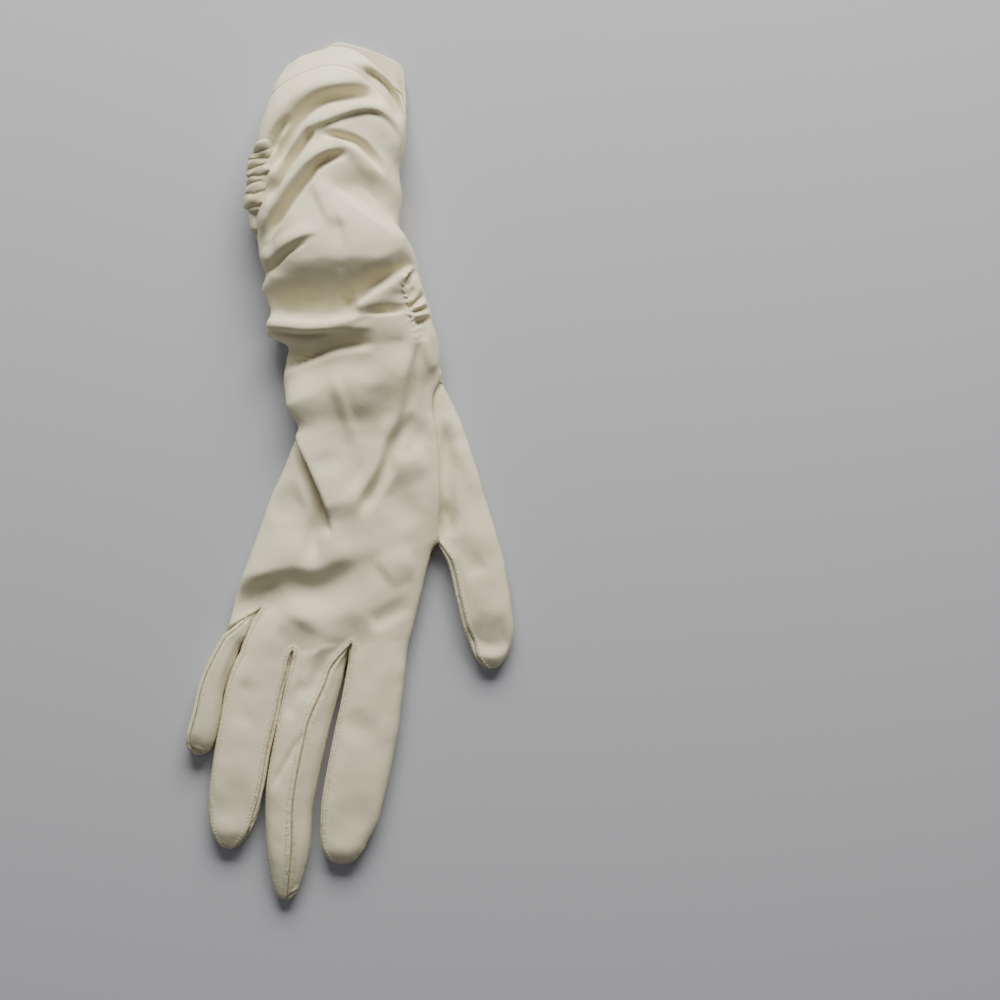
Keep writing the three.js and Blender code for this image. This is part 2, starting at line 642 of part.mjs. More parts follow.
// A gathered strip: it follows the sleeve at a gap, in pleats that fade towards its ends.
function gatheredStrip({ name, from, to, angles, pleats, rise }) {
  const strip = new Skin();
  const count = pleats * ROWS_PER_PLEAT;
  const rows = spread(0, 1, count).map((t) =>
    spread(0, 1, STRIP_COLUMNS).map((u) => {
      const place = lerp(from, to, t);
      const angle = lerp(angles[0], angles[1], u);
      const at = sleevePoint(place, angle);
      const along = sleevePoint(place + NEAR_PLACE, angle).sub(sleevePoint(place - NEAR_PLACE, angle));
      const round = sleevePoint(place, angle + NEAR_ANGLE).sub(sleevePoint(place, angle - NEAR_ANGLE));
      const out = along.cross(round).normalize();
      const edge = Math.sin(Math.PI * lerp(STRIP_EDGE_FADE, 1 - STRIP_EDGE_FADE, u));
      const pleat = 0.5 * (1 - Math.cos(2 * Math.PI * t * pleats)) * edge;
      const ends = Math.sin(Math.PI * clamp01(t)) ** 0.5;
      return [...at.addScaledVector(out, WALL + STRIP_CLEARANCE + rise * pleat * ends)];
    }),
  );
  strip.grid(name, rows);
  return strip.piece(name, WALL, IVORY_SHADE);
}

const skin = new Skin();
const knuckleLine = addArm(skin);
const crotchColumns = crotchColumnsOf(knuckleLine);
FINGERS.forEach((_, number) => addFinger(skin, number, knuckleLine, crotchColumns));
addThumb(skin);

const glove = new THREE.Group();
glove.name = 'ruched_glove';
glove.add(skin.piece('opening_hem', HEM_WALL, IVORY));
for (const name of ['trank_back', 'trank_palm', 'thumb']) glove.add(skin.piece(name, WALL, IVORY));
for (const { piece } of crotchColumns) glove.add(skin.piece(piece, WALL, IVORY_SHADE));
for (const strip of STRIPS) glove.add(gatheredStrip(strip));

export default glove;
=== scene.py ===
"""A ruched dress glove of ivory jersey for the right hand, lying on its palm with its back up."""
import math
from collections import defaultdict, namedtuple
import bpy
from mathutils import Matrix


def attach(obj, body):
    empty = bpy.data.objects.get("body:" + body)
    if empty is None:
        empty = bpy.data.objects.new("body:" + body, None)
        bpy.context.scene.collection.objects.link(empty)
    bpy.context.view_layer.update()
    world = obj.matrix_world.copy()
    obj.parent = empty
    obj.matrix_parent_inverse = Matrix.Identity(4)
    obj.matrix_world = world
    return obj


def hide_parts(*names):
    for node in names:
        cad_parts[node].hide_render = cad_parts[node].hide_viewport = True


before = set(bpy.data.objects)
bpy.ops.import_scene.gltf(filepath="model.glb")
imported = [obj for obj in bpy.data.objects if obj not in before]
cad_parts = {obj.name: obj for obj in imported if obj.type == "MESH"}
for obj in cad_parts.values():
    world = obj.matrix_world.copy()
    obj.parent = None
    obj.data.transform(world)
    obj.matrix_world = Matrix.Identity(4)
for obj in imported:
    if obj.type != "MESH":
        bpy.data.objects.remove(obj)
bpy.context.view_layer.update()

from types import SimpleNamespace as Named

import bpy
import numpy as np
from mathutils import Vector
from mathutils.bvhtree import BVHTree
from mathutils.kdtree import KDTree

# All tables and sizes are in millimetres. X runs across the hand towards the thumb, Y from the
# fingertips to the arm opening, and Z up from the surface that the glove rests on.
MM = 0.001
CLOTH = 0.7
HEM_CLOTH = 1.2

# The steps between the rows of the sleeve, the hand and the fingers, the columns of each cut, and how far
# a finger's columns crowd towards its seams
SLEEVE_STEP = 0.66
HAND_STEP = 1.15
FINGER_STEP = 1.2
TIP_STEP = 0.6
BACK_COLUMNS = 24
PALM_COLUMNS = 10
FORK_COLUMNS = 10
THUMB_COLUMNS = 64
SEAM_CROWDING = 0.6

# How square the cross-sections are (2 is an ellipse), and how far the underside is flattened
ARM_FULLNESS = 2.4
FINGER_FULLNESS = 2.5
REST_FLATTENING = 1.2
FINGER_WIDEST_AT = 0.47


def lerp(a, b, t):
    return a + (b - a) * t


def smooth(t):
    t = np.clip(t, 0.0, 1.0)
    return t * t * (3 - 2 * t)


def swell(t, start, up, end, down):
    """Comes up from 0 at a start over one distance, and goes down again over another to an end."""
    return smooth((t - start) / up) * smooth((end - t) / down)


def stacked(*parts):
    return np.stack(np.broadcast_arrays(*parts), axis=-1)


class Table:
    """Rows of numbers with named columns, read between the rows on a smooth curve through them."""

    def __init__(self, columns, *rows):
        self.names = columns.split()
        self.rows = np.array(rows, float)
        self.last = len(rows) - 1

    def at(self, place):
        place = np.asarray(place, float)
        i = np.clip(np.floor(place).astype(int), 0, self.last - 1)
        t = (place - i)[..., None]
        a, b, c, d = (self.rows[np.clip(i + k, 0, self.last)] for k in (-1, 0, 1, 2))
        bend = (c - a) * t + (2 * a - 5 * b + 4 * c - d) * t**2 + (3 * b - 3 * c + d - a) * t**3
        value = b + 0.5 * bend
        return Named(**{name: value[..., k] for k, name in enumerate(self.names)})

    def column(self, name):
        return self.rows[:, self.names.index(name)]

    def by(self, name, value):
        """The table read where one of its columns, which rises all the way, has a value."""
        return self.at(np.interp(value, self.column(name), np.arange(self.last + 1)))


# Sections of the sleeve and the hand, from the opening to the knuckles: where the left and the right
# outline are, how far the row arches towards the opening, the height of the crown and of the sides,
# the height of the thumb's mouth in the right side and the x of the thumb's far edge there
SECTIONS = Table(
    "left_x left_y right_x right_y arch top side mouth thumb_x",
    (-23.1, 152.3, 21.2, 131.0, 16.0, 15.0, 7.5, 0.0, 0.0),
    (-28.8, 142.5, 21.6, 127.5, 18.0, 19.0, 9.0, 0.0, 0.0),
    (-32.5, 129.4, 21.6, 123.5, 20.0, 22.5, 10.0, 0.0, 0.0),
    (-34.0, 120.0, 20.8, 118.0, 21.0, 24.5, 10.5, 0.0, 0.0),
    (-34.4, 111.0, 18.9, 111.0, 20.0, 25.0, 10.5, 0.0, 0.0),
    (-34.8, 101.6, 20.0, 101.6, 21.0, 25.0, 11.0, 0.0, 0.0),
    (-34.4, 89.6, 19.2, 89.6, 22.0, 25.0, 11.0, 0.0, 0.0),
    (-33.6, 83.6, 23.4, 83.6, 20.0, 25.0, 11.0, 0.0, 0.0),
    (-32.9, 78.0, 25.6, 78.0, 15.0, 25.0, 11.0, 0.0, 0.0),
    (-31.0, 72.8, 26.4, 72.8, 11.0, 24.0, 10.5, 0.0, 0.0),
    (-32.5, 67.1, 27.9, 67.1, 7.0, 23.0, 10.0, 0.0, 0.0),
    (-29.5, 59.6, 30.9, 59.6, 4.0, 21.5, 9.5, 0.0, 0.0),
    (-31.0, 54.4, 31.6, 54.4, 1.0, 21.0, 9.5, 0.0, 0.0),
    (-30.3, 50.2, 33.1, 50.2, 0.0, 20.0, 9.0, 0.0, 0.0),
    (-23.1, 46.5, 33.9, 46.5, 0.0, 18.5, 8.0, 0.0, 0.0),
    (-23.5, 40.9, 34.2, 40.9, 0.0, 17.5, 7.5, 0.0, 31.0),
    (-24.6, 35.2, 33.5, 35.2, 0.0, 16.5, 7.0, 0.0, 33.5),
    (-23.7, 28.5, 30.1, 28.5, 0.0, 15.5, 6.5, 3.5, 37.2),
    (-20.9, 22.5, 29.9, 22.5, 0.0, 14.5, 6.0, 5.0, 39.9),
    (-17.9, 16.1, 30.9, 16.1, 0.0, 13.5, 6.0, 6.0, 42.7),
    (-20.7, 10.5, 31.6, 10.5, 0.0, 12.5, 5.5, 6.5, 44.7),
    (-24.6, 1.1, 32.2, 1.1, 0.0, 12.0, 5.5, 6.5, 47.7),
    (-28.8, -8.2, 32.4, -8.2, 0.0, 11.5, 5.5, 6.5, 50.4),
    (-32.1, -16.9, 32.4, -16.9, 0.0, 11.0, 5.0, 5.0, 53.2),
    (-35.5, -26.2, 32.2, -25.9, 0.0, 11.0, 5.0, 0.0, 56.0),
    (-38.9, -35.6, 29.6, -35.6, 0.0, 10.5, 4.8, 0.0, 58.5),
    (-42.3, -45.0, 27.5, -45.0, 0.0, 10.5, 4.6, 0.0, 0.0),
    (-44.1, -52.5, 24.5, -57.0, 0.0, 10.0, 4.5, 0.0, 0.0),
    (-45.9, -58.7, 22.8, -63.8, 0.0, 10.0, 4.5, 0.0, 0.0),
)
WRIST = 13
THUMB_STARTS = 16
THUMB_CROTCH = 24

# The opening's edge: how far its front and its lip behind reach past the first section, at q across.
# Its shape has faded at a section further down, and the hem ends shortly past the second one.
OPENING = Table(
    "q front lip",
    (-1.0, 0.0, 0.0),
    (-0.75, 5.0, 5.4),
    (-0.5, 9.3, 10.6),
    (-0.2, 14.0, 17.9),
    (0.1, 16.3, 20.2),
    (0.4, 15.5, 21.3),
    (0.7, 12.0, 21.8),
    (0.87, 8.0, 21.4),
    (0.96, 4.6, 18.0),
    (1.0, 0.0, 0.0),
)
OPENING_FADES_BY = 3.0
HEM_ENDS_AT = 1.15

# The crotches between the fingers, from the little finger's to the index finger's, the y at which the
# hand's rows begin to bend to meet them, and how far round each of them the crown dips
CROTCHES = Table(
    "x y top",
    (-33.9, -51.8, 8.2),
    (-21.3, -68.2, 7.8),
    (0.7, -65.6, 7.4),
)
KNUCKLE_BEND_FROM = 12.0
CROTCH_DIP_REACH = 13.0

# The camera hangs over the glove, and what the photograph shows is measured on a plane at this height
PHOTO_SCALE = 0.375
PHOTO_MIDDLE = (56.7, -11.25)
PHOTO_PLANE = 10.0
CAMERA_HEIGHT = 1010.0
PHOTO_PIXELS = 1000


def as_seen(x, y, z):
    """Where the camera sees a point on that plane."""
    spread = (CAMERA_HEIGHT - PHOTO_PLANE) / (CAMERA_HEIGHT - z)
    return lerp(PHOTO_MIDDLE[0], x, spread), lerp(PHOTO_MIDDLE[1], y, spread)


# Folds of the upper layer, as lines in plan as the camera sees them. A positive rise is a ridge and a
# negative one a valley, with the width of its flank on the left and on the right of its run. Sharp is 0
# for a round fold and 1 for a crease, and fades is the share of the line over which it comes up at its
# start and goes down at its end. Lean is how far the crest rolls over to the right, as a share of its
# rise.
Fold = namedtuple("Fold", "name rise left right sharp fades line lean", defaults=[0])
SLEEVE_FOLDS = [
    ("front_band", 3.0, 9, 6, 0, 0.12,
     [(-33, 117), (-31.3, 124.5), (-28.2, 131.2), (-24, 137), (-18, 141.7), (-11, 144.8), (-4, 146.3),
      (3, 147), (9, 146.2)]),
    ("edge_band", 1.8, 4.5, 1.8, 0, 0.2,
     [(-3, 153.4), (3, 152.8), (8, 151.4), (12, 149), (15.6, 145.6), (18.6, 141), (20.8, 135.5)]),
    ("front_crease", -2.4, 1.1, 6, 0.5, 0.2,
     [(1, 150.2), (6, 149.5), (9.4, 148.2), (13.3, 145.4), (16.3, 142), (18.5, 137.9), (20, 134),
      (20.8, 130.5)]),
    ("left_groove", -2.8, 2.2, 1.8, 0.3, 0.3,
     [(-22, 133.5), (-25.2, 129.1), (-27.2, 125.3), (-28.5, 121.6), (-30, 118)]),
    ("left_stripe", 1.5, 1.7, 1.7, 0, 0.3,
     [(-21.5, 131), (-24.5, 126), (-27, 120.5), (-29, 116), (-30.5, 112)]),
    ("second_valley", -4.0, 5.2, 2.2, 0.15, 0.14,
     [(-28.8, 111.5), (-26.8, 115.6), (-24.2, 120.8), (-21.6, 126.1), (-19, 129.8), (-16, 133.5),
      (-12.6, 136.2), (-8.6, 138.3), (-4, 139.5), (2, 140.1), (8, 139.9), (13, 138)]),
    ("second_band", 1.6, 4.5, 2.2, 0, 0.08,
     [(-30, 104.5), (-27.5, 109), (-25, 114), (-22, 119.5), (-19, 124.3), (-15.5, 128.4), (-12, 130.2),
      (-8, 131.9), (-3.5, 133.5), (1, 134.8), (5, 135.6), (8.5, 135.9), (12, 135), (15.3, 132.6),
      (18, 129.6), (19.7, 126), (20.3, 119)]),
    ("second_crease", -1.1, 0.8, 3, 0.7, 0.2,
     [(-12.6, 128), (-9.2, 129.5), (-5.5, 131), (-1.7, 132.4), (1.3, 133.3), (4.3, 134.1), (8, 134.4),
      (11.5, 133.4), (14, 131.7)]),
    ("outer_crease", -3.2, 4.2, 1.7, 0.35, 0.2,
     [(-30, 99), (-28, 103.5), (-25.3, 108.5), (-22.7, 112.8), (-20.3, 116.6), (-18.3, 119.5),
      (-16.1, 123), (-14.4, 125.6), (-12.8, 127.8)]),
    ("tent_crease", -2.8, 3.4, 1.3, 0.15, 0.25,
     [(-12.5, 127.6), (-8.5, 125.7), (-4.7, 124.9), (-1, 124), (2, 122.9), (4.6, 121.3), (7.3, 118.2),
      (11, 113.9), (14, 110.2)]),
    ("tent_ridge", 1.0, 2, 5, 0.1, 0.3, [(-5, 122.4), (0, 121), (4, 118.4), (8, 114), (11.5, 109.5)]),
    ("third_band", 2.4, 6, 2.4, 0, 0.15,
     [(-34, 87), (-31, 93.5), (-27.5, 99.5), (-24, 105.3), (-20.5, 110.4), (-16.5, 115), (-12, 118.3),
      (-7, 120.3), (-2, 121.6)]),
    ("third_valley", -4.0, 2.9, 2.2, 0.3, 0.2,
     [(-31, 85.5), (-28.7, 90), (-26.4, 93.6), (-23.9, 97.6), (-21.2, 101.7), (-18.2, 105.8),
      (-14.9, 109.6), (-12.6, 112.9), (-10.5, 114.9), (-7.7, 116.6), (-3.2, 118.4), (1.5, 119.8)]),
    ("cone_valley", -3.2, 12, 4.5, 0, 0.3,
     [(-8.5, 110.3), (-1.7, 105.8), (4.3, 102), (10.3, 98), (16.3, 93), (22, 87.5)]),
    ("cone_ridge", 4.4, 27, 10, 0, 0.2,
     [(-28, 78), (-16, 79.5), (-5, 80.5), (5, 80.5), (14, 79.5), (25, 79)]),
    ("elbow_crease", -3.6, 8, 2.2, 0.2, 0.25,
     [(-3, 61), (3, 64.5), (9, 69), (15.5, 73.4), (21, 76), (26, 78)]),
    ("apex_ridge", 1.4, 7, 3.5, 0, 0.3,
     [(-12.5, 109.5), (-11, 105), (-9, 100), (-6.5, 94.5), (-5, 90)]),
    ("apex_valley", -0.9, 3, 6, 0, 0.45, [(-8.5, 101), (-6, 96), (-4, 91), (-2.5, 85), (-1.5, 78)]),
    ("fourth_band", 1.5, 5, 2.2, 0, 0.2,
     [(-34, 76), (-30, 79.3), (-26, 82.3), (-21.5, 85.4), (-16.5, 88), (-11, 89.8)]),
    ("fourth_valley", -1.8, 2.2, 1.8, 0.4, 0.3,
     [(-34.5, 71.5), (-30.5, 74.4), (-27, 77.4), (-23, 80.5), (-18.5, 83.6), (-14.5, 85.8)]),
    ("broad_valley", -5.6, 13, 4.5, 0, 0.16,
     [(-37, 61), (-26, 60.2), (-17, 59.6), (-9, 59.3), (-2, 60), (4, 62)]),
    ("broad_valley_rib", 1.0, 3, 4, 0.2, 0.3, [(-2.4, 76), (-3.2, 70), (-4.9, 64.2), (-6.5, 59.3)]),
    ("elbow_ridge", 2.0, 2.4, 6, 0, 0.2,
     [(-9, 56), (-1.5, 58.5), (4.5, 61.8), (10.5, 65.8), (16, 69.4), (23, 73)]),
    ("gather_pit", -1.5, 3.4, 0.9, 0.2, 0.4,
     [(2, 57.6), (7, 58.7), (12, 58.9), (16, 59), (20, 59.5), (23.5, 60.3)]),
    ("gather_pit_wedge", -0.8, 4.5, 1.4, 0, 0.45, [(8, 59.1), (13, 59.3), (18, 59.8), (24.5, 60.8)]),
    ("gather_pit_lip", 0.5, 3.5, 1.5, 0, 0.35, [(5, 61), (12, 62.3), (17, 62.7), (21.5, 62.4)]),
    ("gather_hole", -2.8, 2.2, 1.1, 0.3, 0.3,
     [(25.2, 75.6), (22.8, 72.9), (21.7, 70.8), (21.3, 68.6)]),
    ("gather_hole_rim", 1.3, 1.5, 3, 0, 0.3, [(24, 76.4), (21.8, 74), (20.5, 71.8), (19.8, 69.2)]),
    ("puff_upper", 1.9, 2.4, 2.4, 0, 0.4, [(25.6, 73.5), (26.8, 69.4), (26.6, 65.8)]),
    ("puff_upper_shade", -1.0, 1.8, 1.8, 0, 0.4, [(24, 69), (24.2, 66.4), (23.8, 63.4)]),
    ("puff_crease", -2.6, 1.4, 1.3, 0.4, 0.22,
     [(22, 60.8), (23.6, 61.4), (25.3, 62.9), (26.8, 64.5), (28.4, 65.8)]),
    ("puff_middle", 1.3, 1.6, 1.6, 0, 0.4, [(23.4, 60), (25.5, 61), (28, 62.4), (30, 63.2)]),
    ("puff_crease_middle", -1.8, 1.4, 1.4, 0.3, 0.25,
     [(23.2, 58.5), (25.7, 59.7), (28.2, 60.5), (31, 60.6)]),
    ("puff_lower", 1.4, 1.9, 1.9, 0, 0.4, [(24, 57.4), (27, 58.3), (30.5, 58.8)]),
    ("puff_crease_lower", -2.0, 1.6, 1.7, 0.3, 0.25,
     [(24.4, 55.3), (27.4, 55.6), (30.7, 56.9), (32.5, 57.6)]),
    ("wrist_band", 2.2, 5.5, 2.5, 0.1, 0.3,
     [(-48, 56), (-38, 55.2), (-30, 54.4), (-22, 53.4), (-14, 53), (-6, 53.4), (2, 54), (12, 54.4)]),
    ("wrist_crease", -1.9, 1.0, 4, 0.5, 0.3,
     [(-29, 52.2), (-24, 51.3), (-19, 50.9), (-14, 50.9), (-8, 51.5), (-3, 52)]),
    ("wrist_valley", -3.2, 6, 3, 0.2, 0.2,
     [(-27, 37), (-23, 39), (-18, 41.2), (-13.5, 43), (-9, 44.8), (-3.5, 46.6), (4, 47.4), (11, 47.6)]),
    ("wrist_lower_crease", -1.6, 1.0, 1.4, 0.9, 0.25,
     [(-25, 38.1), (-18.5, 41), (-13, 43.2), (-8, 45.5)]),
    ("wrist_pillow", 2.3, 11, 13, 0, 0.2,
     [(-26, 24), (-19, 27), (-11, 29), (-3, 30), (5, 30.5), (12, 32.5), (18, 39), (21, 48)]),
    ("gather_ridge", 1.1, 2.6, 5, 0.1, 0.1,
     [(26.4, 54), (24.6, 49), (22.9, 43), (21.4, 37), (20.2, 32), (19.2, 26), (18.2, 20.5), (16.2, 15.5),
      (14, 11.5), (12.4, 7.5), (11, 2.5), (8.2, -2.8), (4.8, -7.5), (3.2, -12), (2.8, -18)]),
    ("thumb_side_ridge", 1.2, 3.5, 3, 0, 0.3, [(27.5, 51), (30, 43), (32, 36.5)]),
    ("thumb_side_valley", -1.0, 2.6, 4, 0.1, 0.3, [(25.5, 48), (25.4, 40), (24.6, 31), (24, 22)]),
]
HAND_FOLDS = [
    ("wrist_rib", 0.8, 3, 3.5, 0.1, 0.3, [(-5, 36), (-3.7, 30), (-1.8, 23.5), (0.2, 17.4), (2, 9)]),
    ("wrist_right_valley", -0.7, 7, 7, 0, 0.3, [(9, 33), (9.5, 26), (8, 17), (6, 9)]),
    ("small_hollow", -1.1, 6.5, 6.5, 0, 0.5, [(-7.5, 8), (-6.8, 3), (-7, -2.5)]),
    ("hand_ridge_shade", -2.2, 5, 2.4, 0.1, 0.25,
     [(20.4, 22), (18.6, 15), (15.8, 9), (14, 3), (10.8, -4.2), (7.4, -9.4), (5.8, -13), (5.2, -18)]),
    ("overlap", 4.0, 15, 1.9, 0.1, 0.2,
     [(-26, 33), (-22.6, 25.5), (-20.4, 21.5), (-17.8, 16), (-14.8, 8), (-11.2, -2), (-7.9, -10),
      (-6.2, -16.5), (-4.5, -27)], 0.5),
    ("overlap_shade", -3.4, 0.9, 6, 0.3, 0.3,
     [(-20.5, 17), (-17, 8), (-13.2, -2), (-9.7, -10), (-8.2, -16.5), (-7.4, -25)]),
    ("wing_valley", -1.0, 8, 10, 0, 0.3, [(-31, -13), (-24, -12), (-17, -10)]),
    ("middle_swell", 1.2, 7, 8, 0, 0.4, [(-9, -20), (-5.5, -28), (-2.5, -37)]),
    ("between_swells", -1.8, 4.5, 5, 0, 0.4, [(-11, -14), (-12.7, -22), (-14, -29), (-15.5, -36)]),
    ("knuckle_ledge", 2.1, 15, 6.5, 0, 0.3,
     [(-62, -56), (-52, -49), (-46, -46), (-40, -42.8), (-34.4, -39.6), (-27.4, -36.2), (-20.5, -35.2),
      (-15.6, -37), (-10.7, -37.2), (-3.8, -33.8), (5, -29.8), (13, -25)]),
    ("knuckle_hollow", -2.8, 8, 12, 0, 0.3,
     [(-64, -62), (-54, -56), (-47, -52), (-41, -48.5), (-34, -46), (-27, -44.8), (-20, -44.2),
      (-12, -44.4), (-4, -41.5), (4, -37.8), (12, -32)]),
    ("knuckle_shelf", 1.1, 10, 5, 0, 0.35,
     [(-26, -49), (-20, -52.8), (-14, -57), (-8, -60), (-2, -61.6), (3, -61)]),
    ("index_dip", -1.3, 6, 4, 0, 0.3, [(8, -59), (15, -55), (25, -50)]),
    ("index_side_swell", 1.4, 8, 8, 0, 0.3, [(12, -40), (18, -36), (25, -34)]),
    ("right_hollow_upper", -1.3, 6, 8, 0, 0.35, [(20, 19), (25, 15.5), (31, 13)]),
    ("right_swell", 1.3, 6, 9, 0, 0.35, [(15, 3), (22, 2.5), (30, 5)]),
    ("right_hollow_lower", -1.3, 8, 9, 0, 0.35, [(14, -5), (20, -12), (25, -22)]),
]

# The same for the fingers and the thumb, in plain plan and not as the camera sees them
FINGER_FOLDS = [
    ("little_tip_pinch", -1.4, 1.4, 1.6, 0.4, 0.4, [(-58.6, -107), (-57.8, -104), (-56.6, -99)]),
    ("little_roll", -1.0, 2.2, 2.2, 0.2, 0.3, [(-40, -62), (-44, -72), (-47.5, -82)]),
    ("ring_swell", -0.9, 4, 5, 0, 0.3, [(-38, -78), (-40, -88), (-38.5, -97)]),
    ("ring_low_dent", -1.3, 18, 12, 0, 0.4, [(-54, -124), (-44, -126.5), (-33, -125)]),
    ("middle_root_dent", -1.3, 5, 4, 0, 0.4, [(-7.5, -70), (-12, -78), (-15.5, -88)]),
    ("middle_crease", -1.2, 1.3, 2.4, 0.5, 0.3,
     [(-16.5, -98), (-20.5, -105), (-25, -112.5), (-29.5, -121)]),
    ("middle_swell", -1.0, 3.5, 4, 0, 0.3, [(-16, -79), (-21, -86), (-23, -94)]),
    ("index_dent", -0.9, 8, 8, 0, 0.4, [(-2, -100), (4, -96.5), (11, -95)]),
    ("index_low_dent", -1.5, 20, 12, 0, 0.4, [(-12, -131), (0, -132.5), (11, -130)]),
    ("index_rib", 0.9, 4, 4, 0, 0.3, [(12, -72), (9, -86), (7, -98)]),
    ("thumb_seam_shade", -2.6, 5, 3, 0.1, 0.25, [(36, 20), (36.5, 8), (36.5, -4), (36, -14), (35, -24)]),
    ("thumb_root_dent", -2.4, 12, 6, 0, 0.4, [(30, -20), (35, -22), (40, -25)]),
    ("thumb_dent", -2.2, 13, 5, 0, 0.3, [(42, -62), (53, -66), (64, -63)]),
    ("thumb_dent_upper", -1.0, 5, 5, 0, 0.35, [(41, -26), (46, -34), (49, -40)]),
    ("thumb_swell", 1.0, 6, 5, 0, 0.35, [(40, 12), (45, 2), (50, -12)]),
]

# Fingers: stations of the centre line, with the width across and the height of the crown, the last
# station being the tip. The seams are angles round the section, from 0 at the left over 90 at the top:
# where the back begins, where it ends, where the palm begins and where it ends. They turn from the
# first set to the second one over a length, as the finger has rolled over. A fork tapers over a length
# to its end, which is so far from the tip and sinks part of the way to the palm. The root's curve is how
# fast the finger swings out from the knuckles, 1 being straight.
STATION = "x y width height"
FINGERS = [
    Named(
        name="little",
        stations=Table(
            STATION,
            (-44.4, -63.6, 7.6, 8.4),
            (-49.1, -73.9, 9.0, 9.3),
            (-52.1, -81.8, 9.6, 9.5),
            (-54.0, -91.5, 10.4, 9.5),
            (-56.0, -99.8, 10.8, 9.0),
            (-56.9, -104.2, 9.2, 7.2),
            (-57.1, -106.4, 5.2, 5.0),
            (-57.1, -107.3, 0.0, 2.8),
        ),
        knuckle_seams=(-60, 55, 200, 300),
        tip_seams=(-105, 48, 195, 255),
        turns_over=14.0,
        fork_ends=0.5,
        fork_taper=2.5,
        fork_sinks=0.5,
        root_curve=0.9,
    ),
    Named(
        name="ring",
        stations=Table(
            STATION,
            (-32.0, -72.0, 19.0, 9.0),
            (-35.2, -80.3, 20.8, 9.0),
            (-37.5, -91.7, 21.0, 9.0),
            (-40.0, -103.9, 20.2, 9.0),
            (-42.3, -118.5, 19.7, 9.0),
            (-43.8, -127.5, 18.2, 8.5),
            (-44.9, -134.6, 15.2, 7.5),
            (-45.3, -139.4, 10.4, 5.8),
            (-45.3, -142.0, 5.2, 4.2),
            (-45.3, -142.8, 0.0, 2.6),
        ),
        knuckle_seams=(18, 158, 219, 321),
        tip_seams=(14, 152, 219, 321),
        turns_over=22.0,
        fork_ends=9.0,
        fork_taper=14.0,
        fork_sinks=0.0,
        root_curve=1.5,
    ),
    Named(
        name="middle",
        stations=Table(
            STATION,
            (-12.7, -76.1, 20.2, 9.0),
            (-15.6, -88.5, 19.3, 9.5),
            (-18.4, -101.3, 18.7, 10.0),
            (-21.5, -117.0, 18.2, 10.0),
            (-22.8, -127.5, 16.9, 9.5),
            (-23.0, -141.4, 15.6, 9.0),
            (-23.5, -151.1, 12.0, 7.5),
            (-24.0, -158.6, 7.8, 5.2),
            (-24.0, -161.3, 4.2, 3.8),
            (-24.0, -162.0, 0.0, 2.6),
        ),
        knuckle_seams=(20, 114, 190, 321),
        tip_seams=(-2, 96, 180, 280),
        turns_over=22.0,
        fork_ends=0.5,
        fork_taper=5.0,
        fork_sinks=0.0,
        root_curve=1.4,
    ),
    Named(
        name="index",
        stations=Table(
            STATION,
            (10.4, -73.9, 21.3, 9.0),
            (8.3, -88.5, 22.3, 9.0),
            (5.7, -102.4, 23.1, 9.0),
            (2.7, -117.0, 22.8, 9.0),
            (0.3, -129.0, 21.7, 9.0),
            (-2.4, -139.5, 17.0, 8.0),
            (-3.5, -145.2, 12.2, 6.2),
            (-3.9, -147.7, 6.4, 4.2),
            (-4.0, -148.5, 0.0, 2.6),
        ),
        knuckle_seams=(18, 180, 180, 324),
        tip_seams=(16, 180, 180, 324),
        turns_over=22.0,
        fork_ends=9.0,
        fork_taper=14.0,
        fork_sinks=0.0,
        root_curve=1.5,
    ),
]
FORKS = ("fork_ring_little", "fork_middle_ring", "fork_index_middle")

# The free part of the thumb, past its crotch, the angle of its seam, the angles of its edges where they
# are set into the hand and where they close, its height there, and over how many sections it closes
THUMB = Table(
    STATION,
    (46.6, -30.8, 21.0, 9.8),
    (48.2, -36.8, 20.6, 9.5),
    (50.2, -47.3, 20.1, 9.5),
    (52.2, -57.4, 19.0, 9.0),
    (53.2, -64.5, 16.5, 8.0),
    (53.4, -69.2, 12.8, 6.8),
    (53.5, -72.4, 8.6, 5.2),
    (53.4, -74.2, 4.6, 3.8),
    (53.4, -74.8, 0.0, 2.6),
)
THUMB_SEAM_ANGLE = 35.0
THUMB_SET_IN_ANGLES = (90.0, 270.0)
THUMB_CLOSING_ANGLES = (THUMB_SEAM_ANGLE, 350.0)
THUMB_HEIGHT = 10.0
THUMB_CLOSES_OVER = 2.5

# The steps of the lines that folds and the gathered seam follow, between each two of their points
FOLD_LINE_STEPS = 4
PUCKER_LINE_STEPS = 10
WELT_LINE_STEPS = 12


def line_through(points, steps):
    """A smooth line through points, with so many steps between each two of them."""
    table = Table(" ".join("xyz"[: len(points[0])]), *points)
    at = table.at(np.linspace(0, table.last, table.last * steps + 1))
    return np.stack(list(vars(at).values()), axis=-1)


def near_line(x, y, course, reach):
    """Which points lie in the box round a line, with a reach beyond it."""
    low, high = course.min(axis=0) - reach, course.max(axis=0) + reach
    return (x > low[0]) & (x < high[0]) & (y > low[1]) & (y < high[1])


def run_along(points):
    """How far along a line each of its points is."""
    return np.concatenate([[0], np.cumsum(np.linalg.norm(np.diff(points, axis=0), axis=-1))])


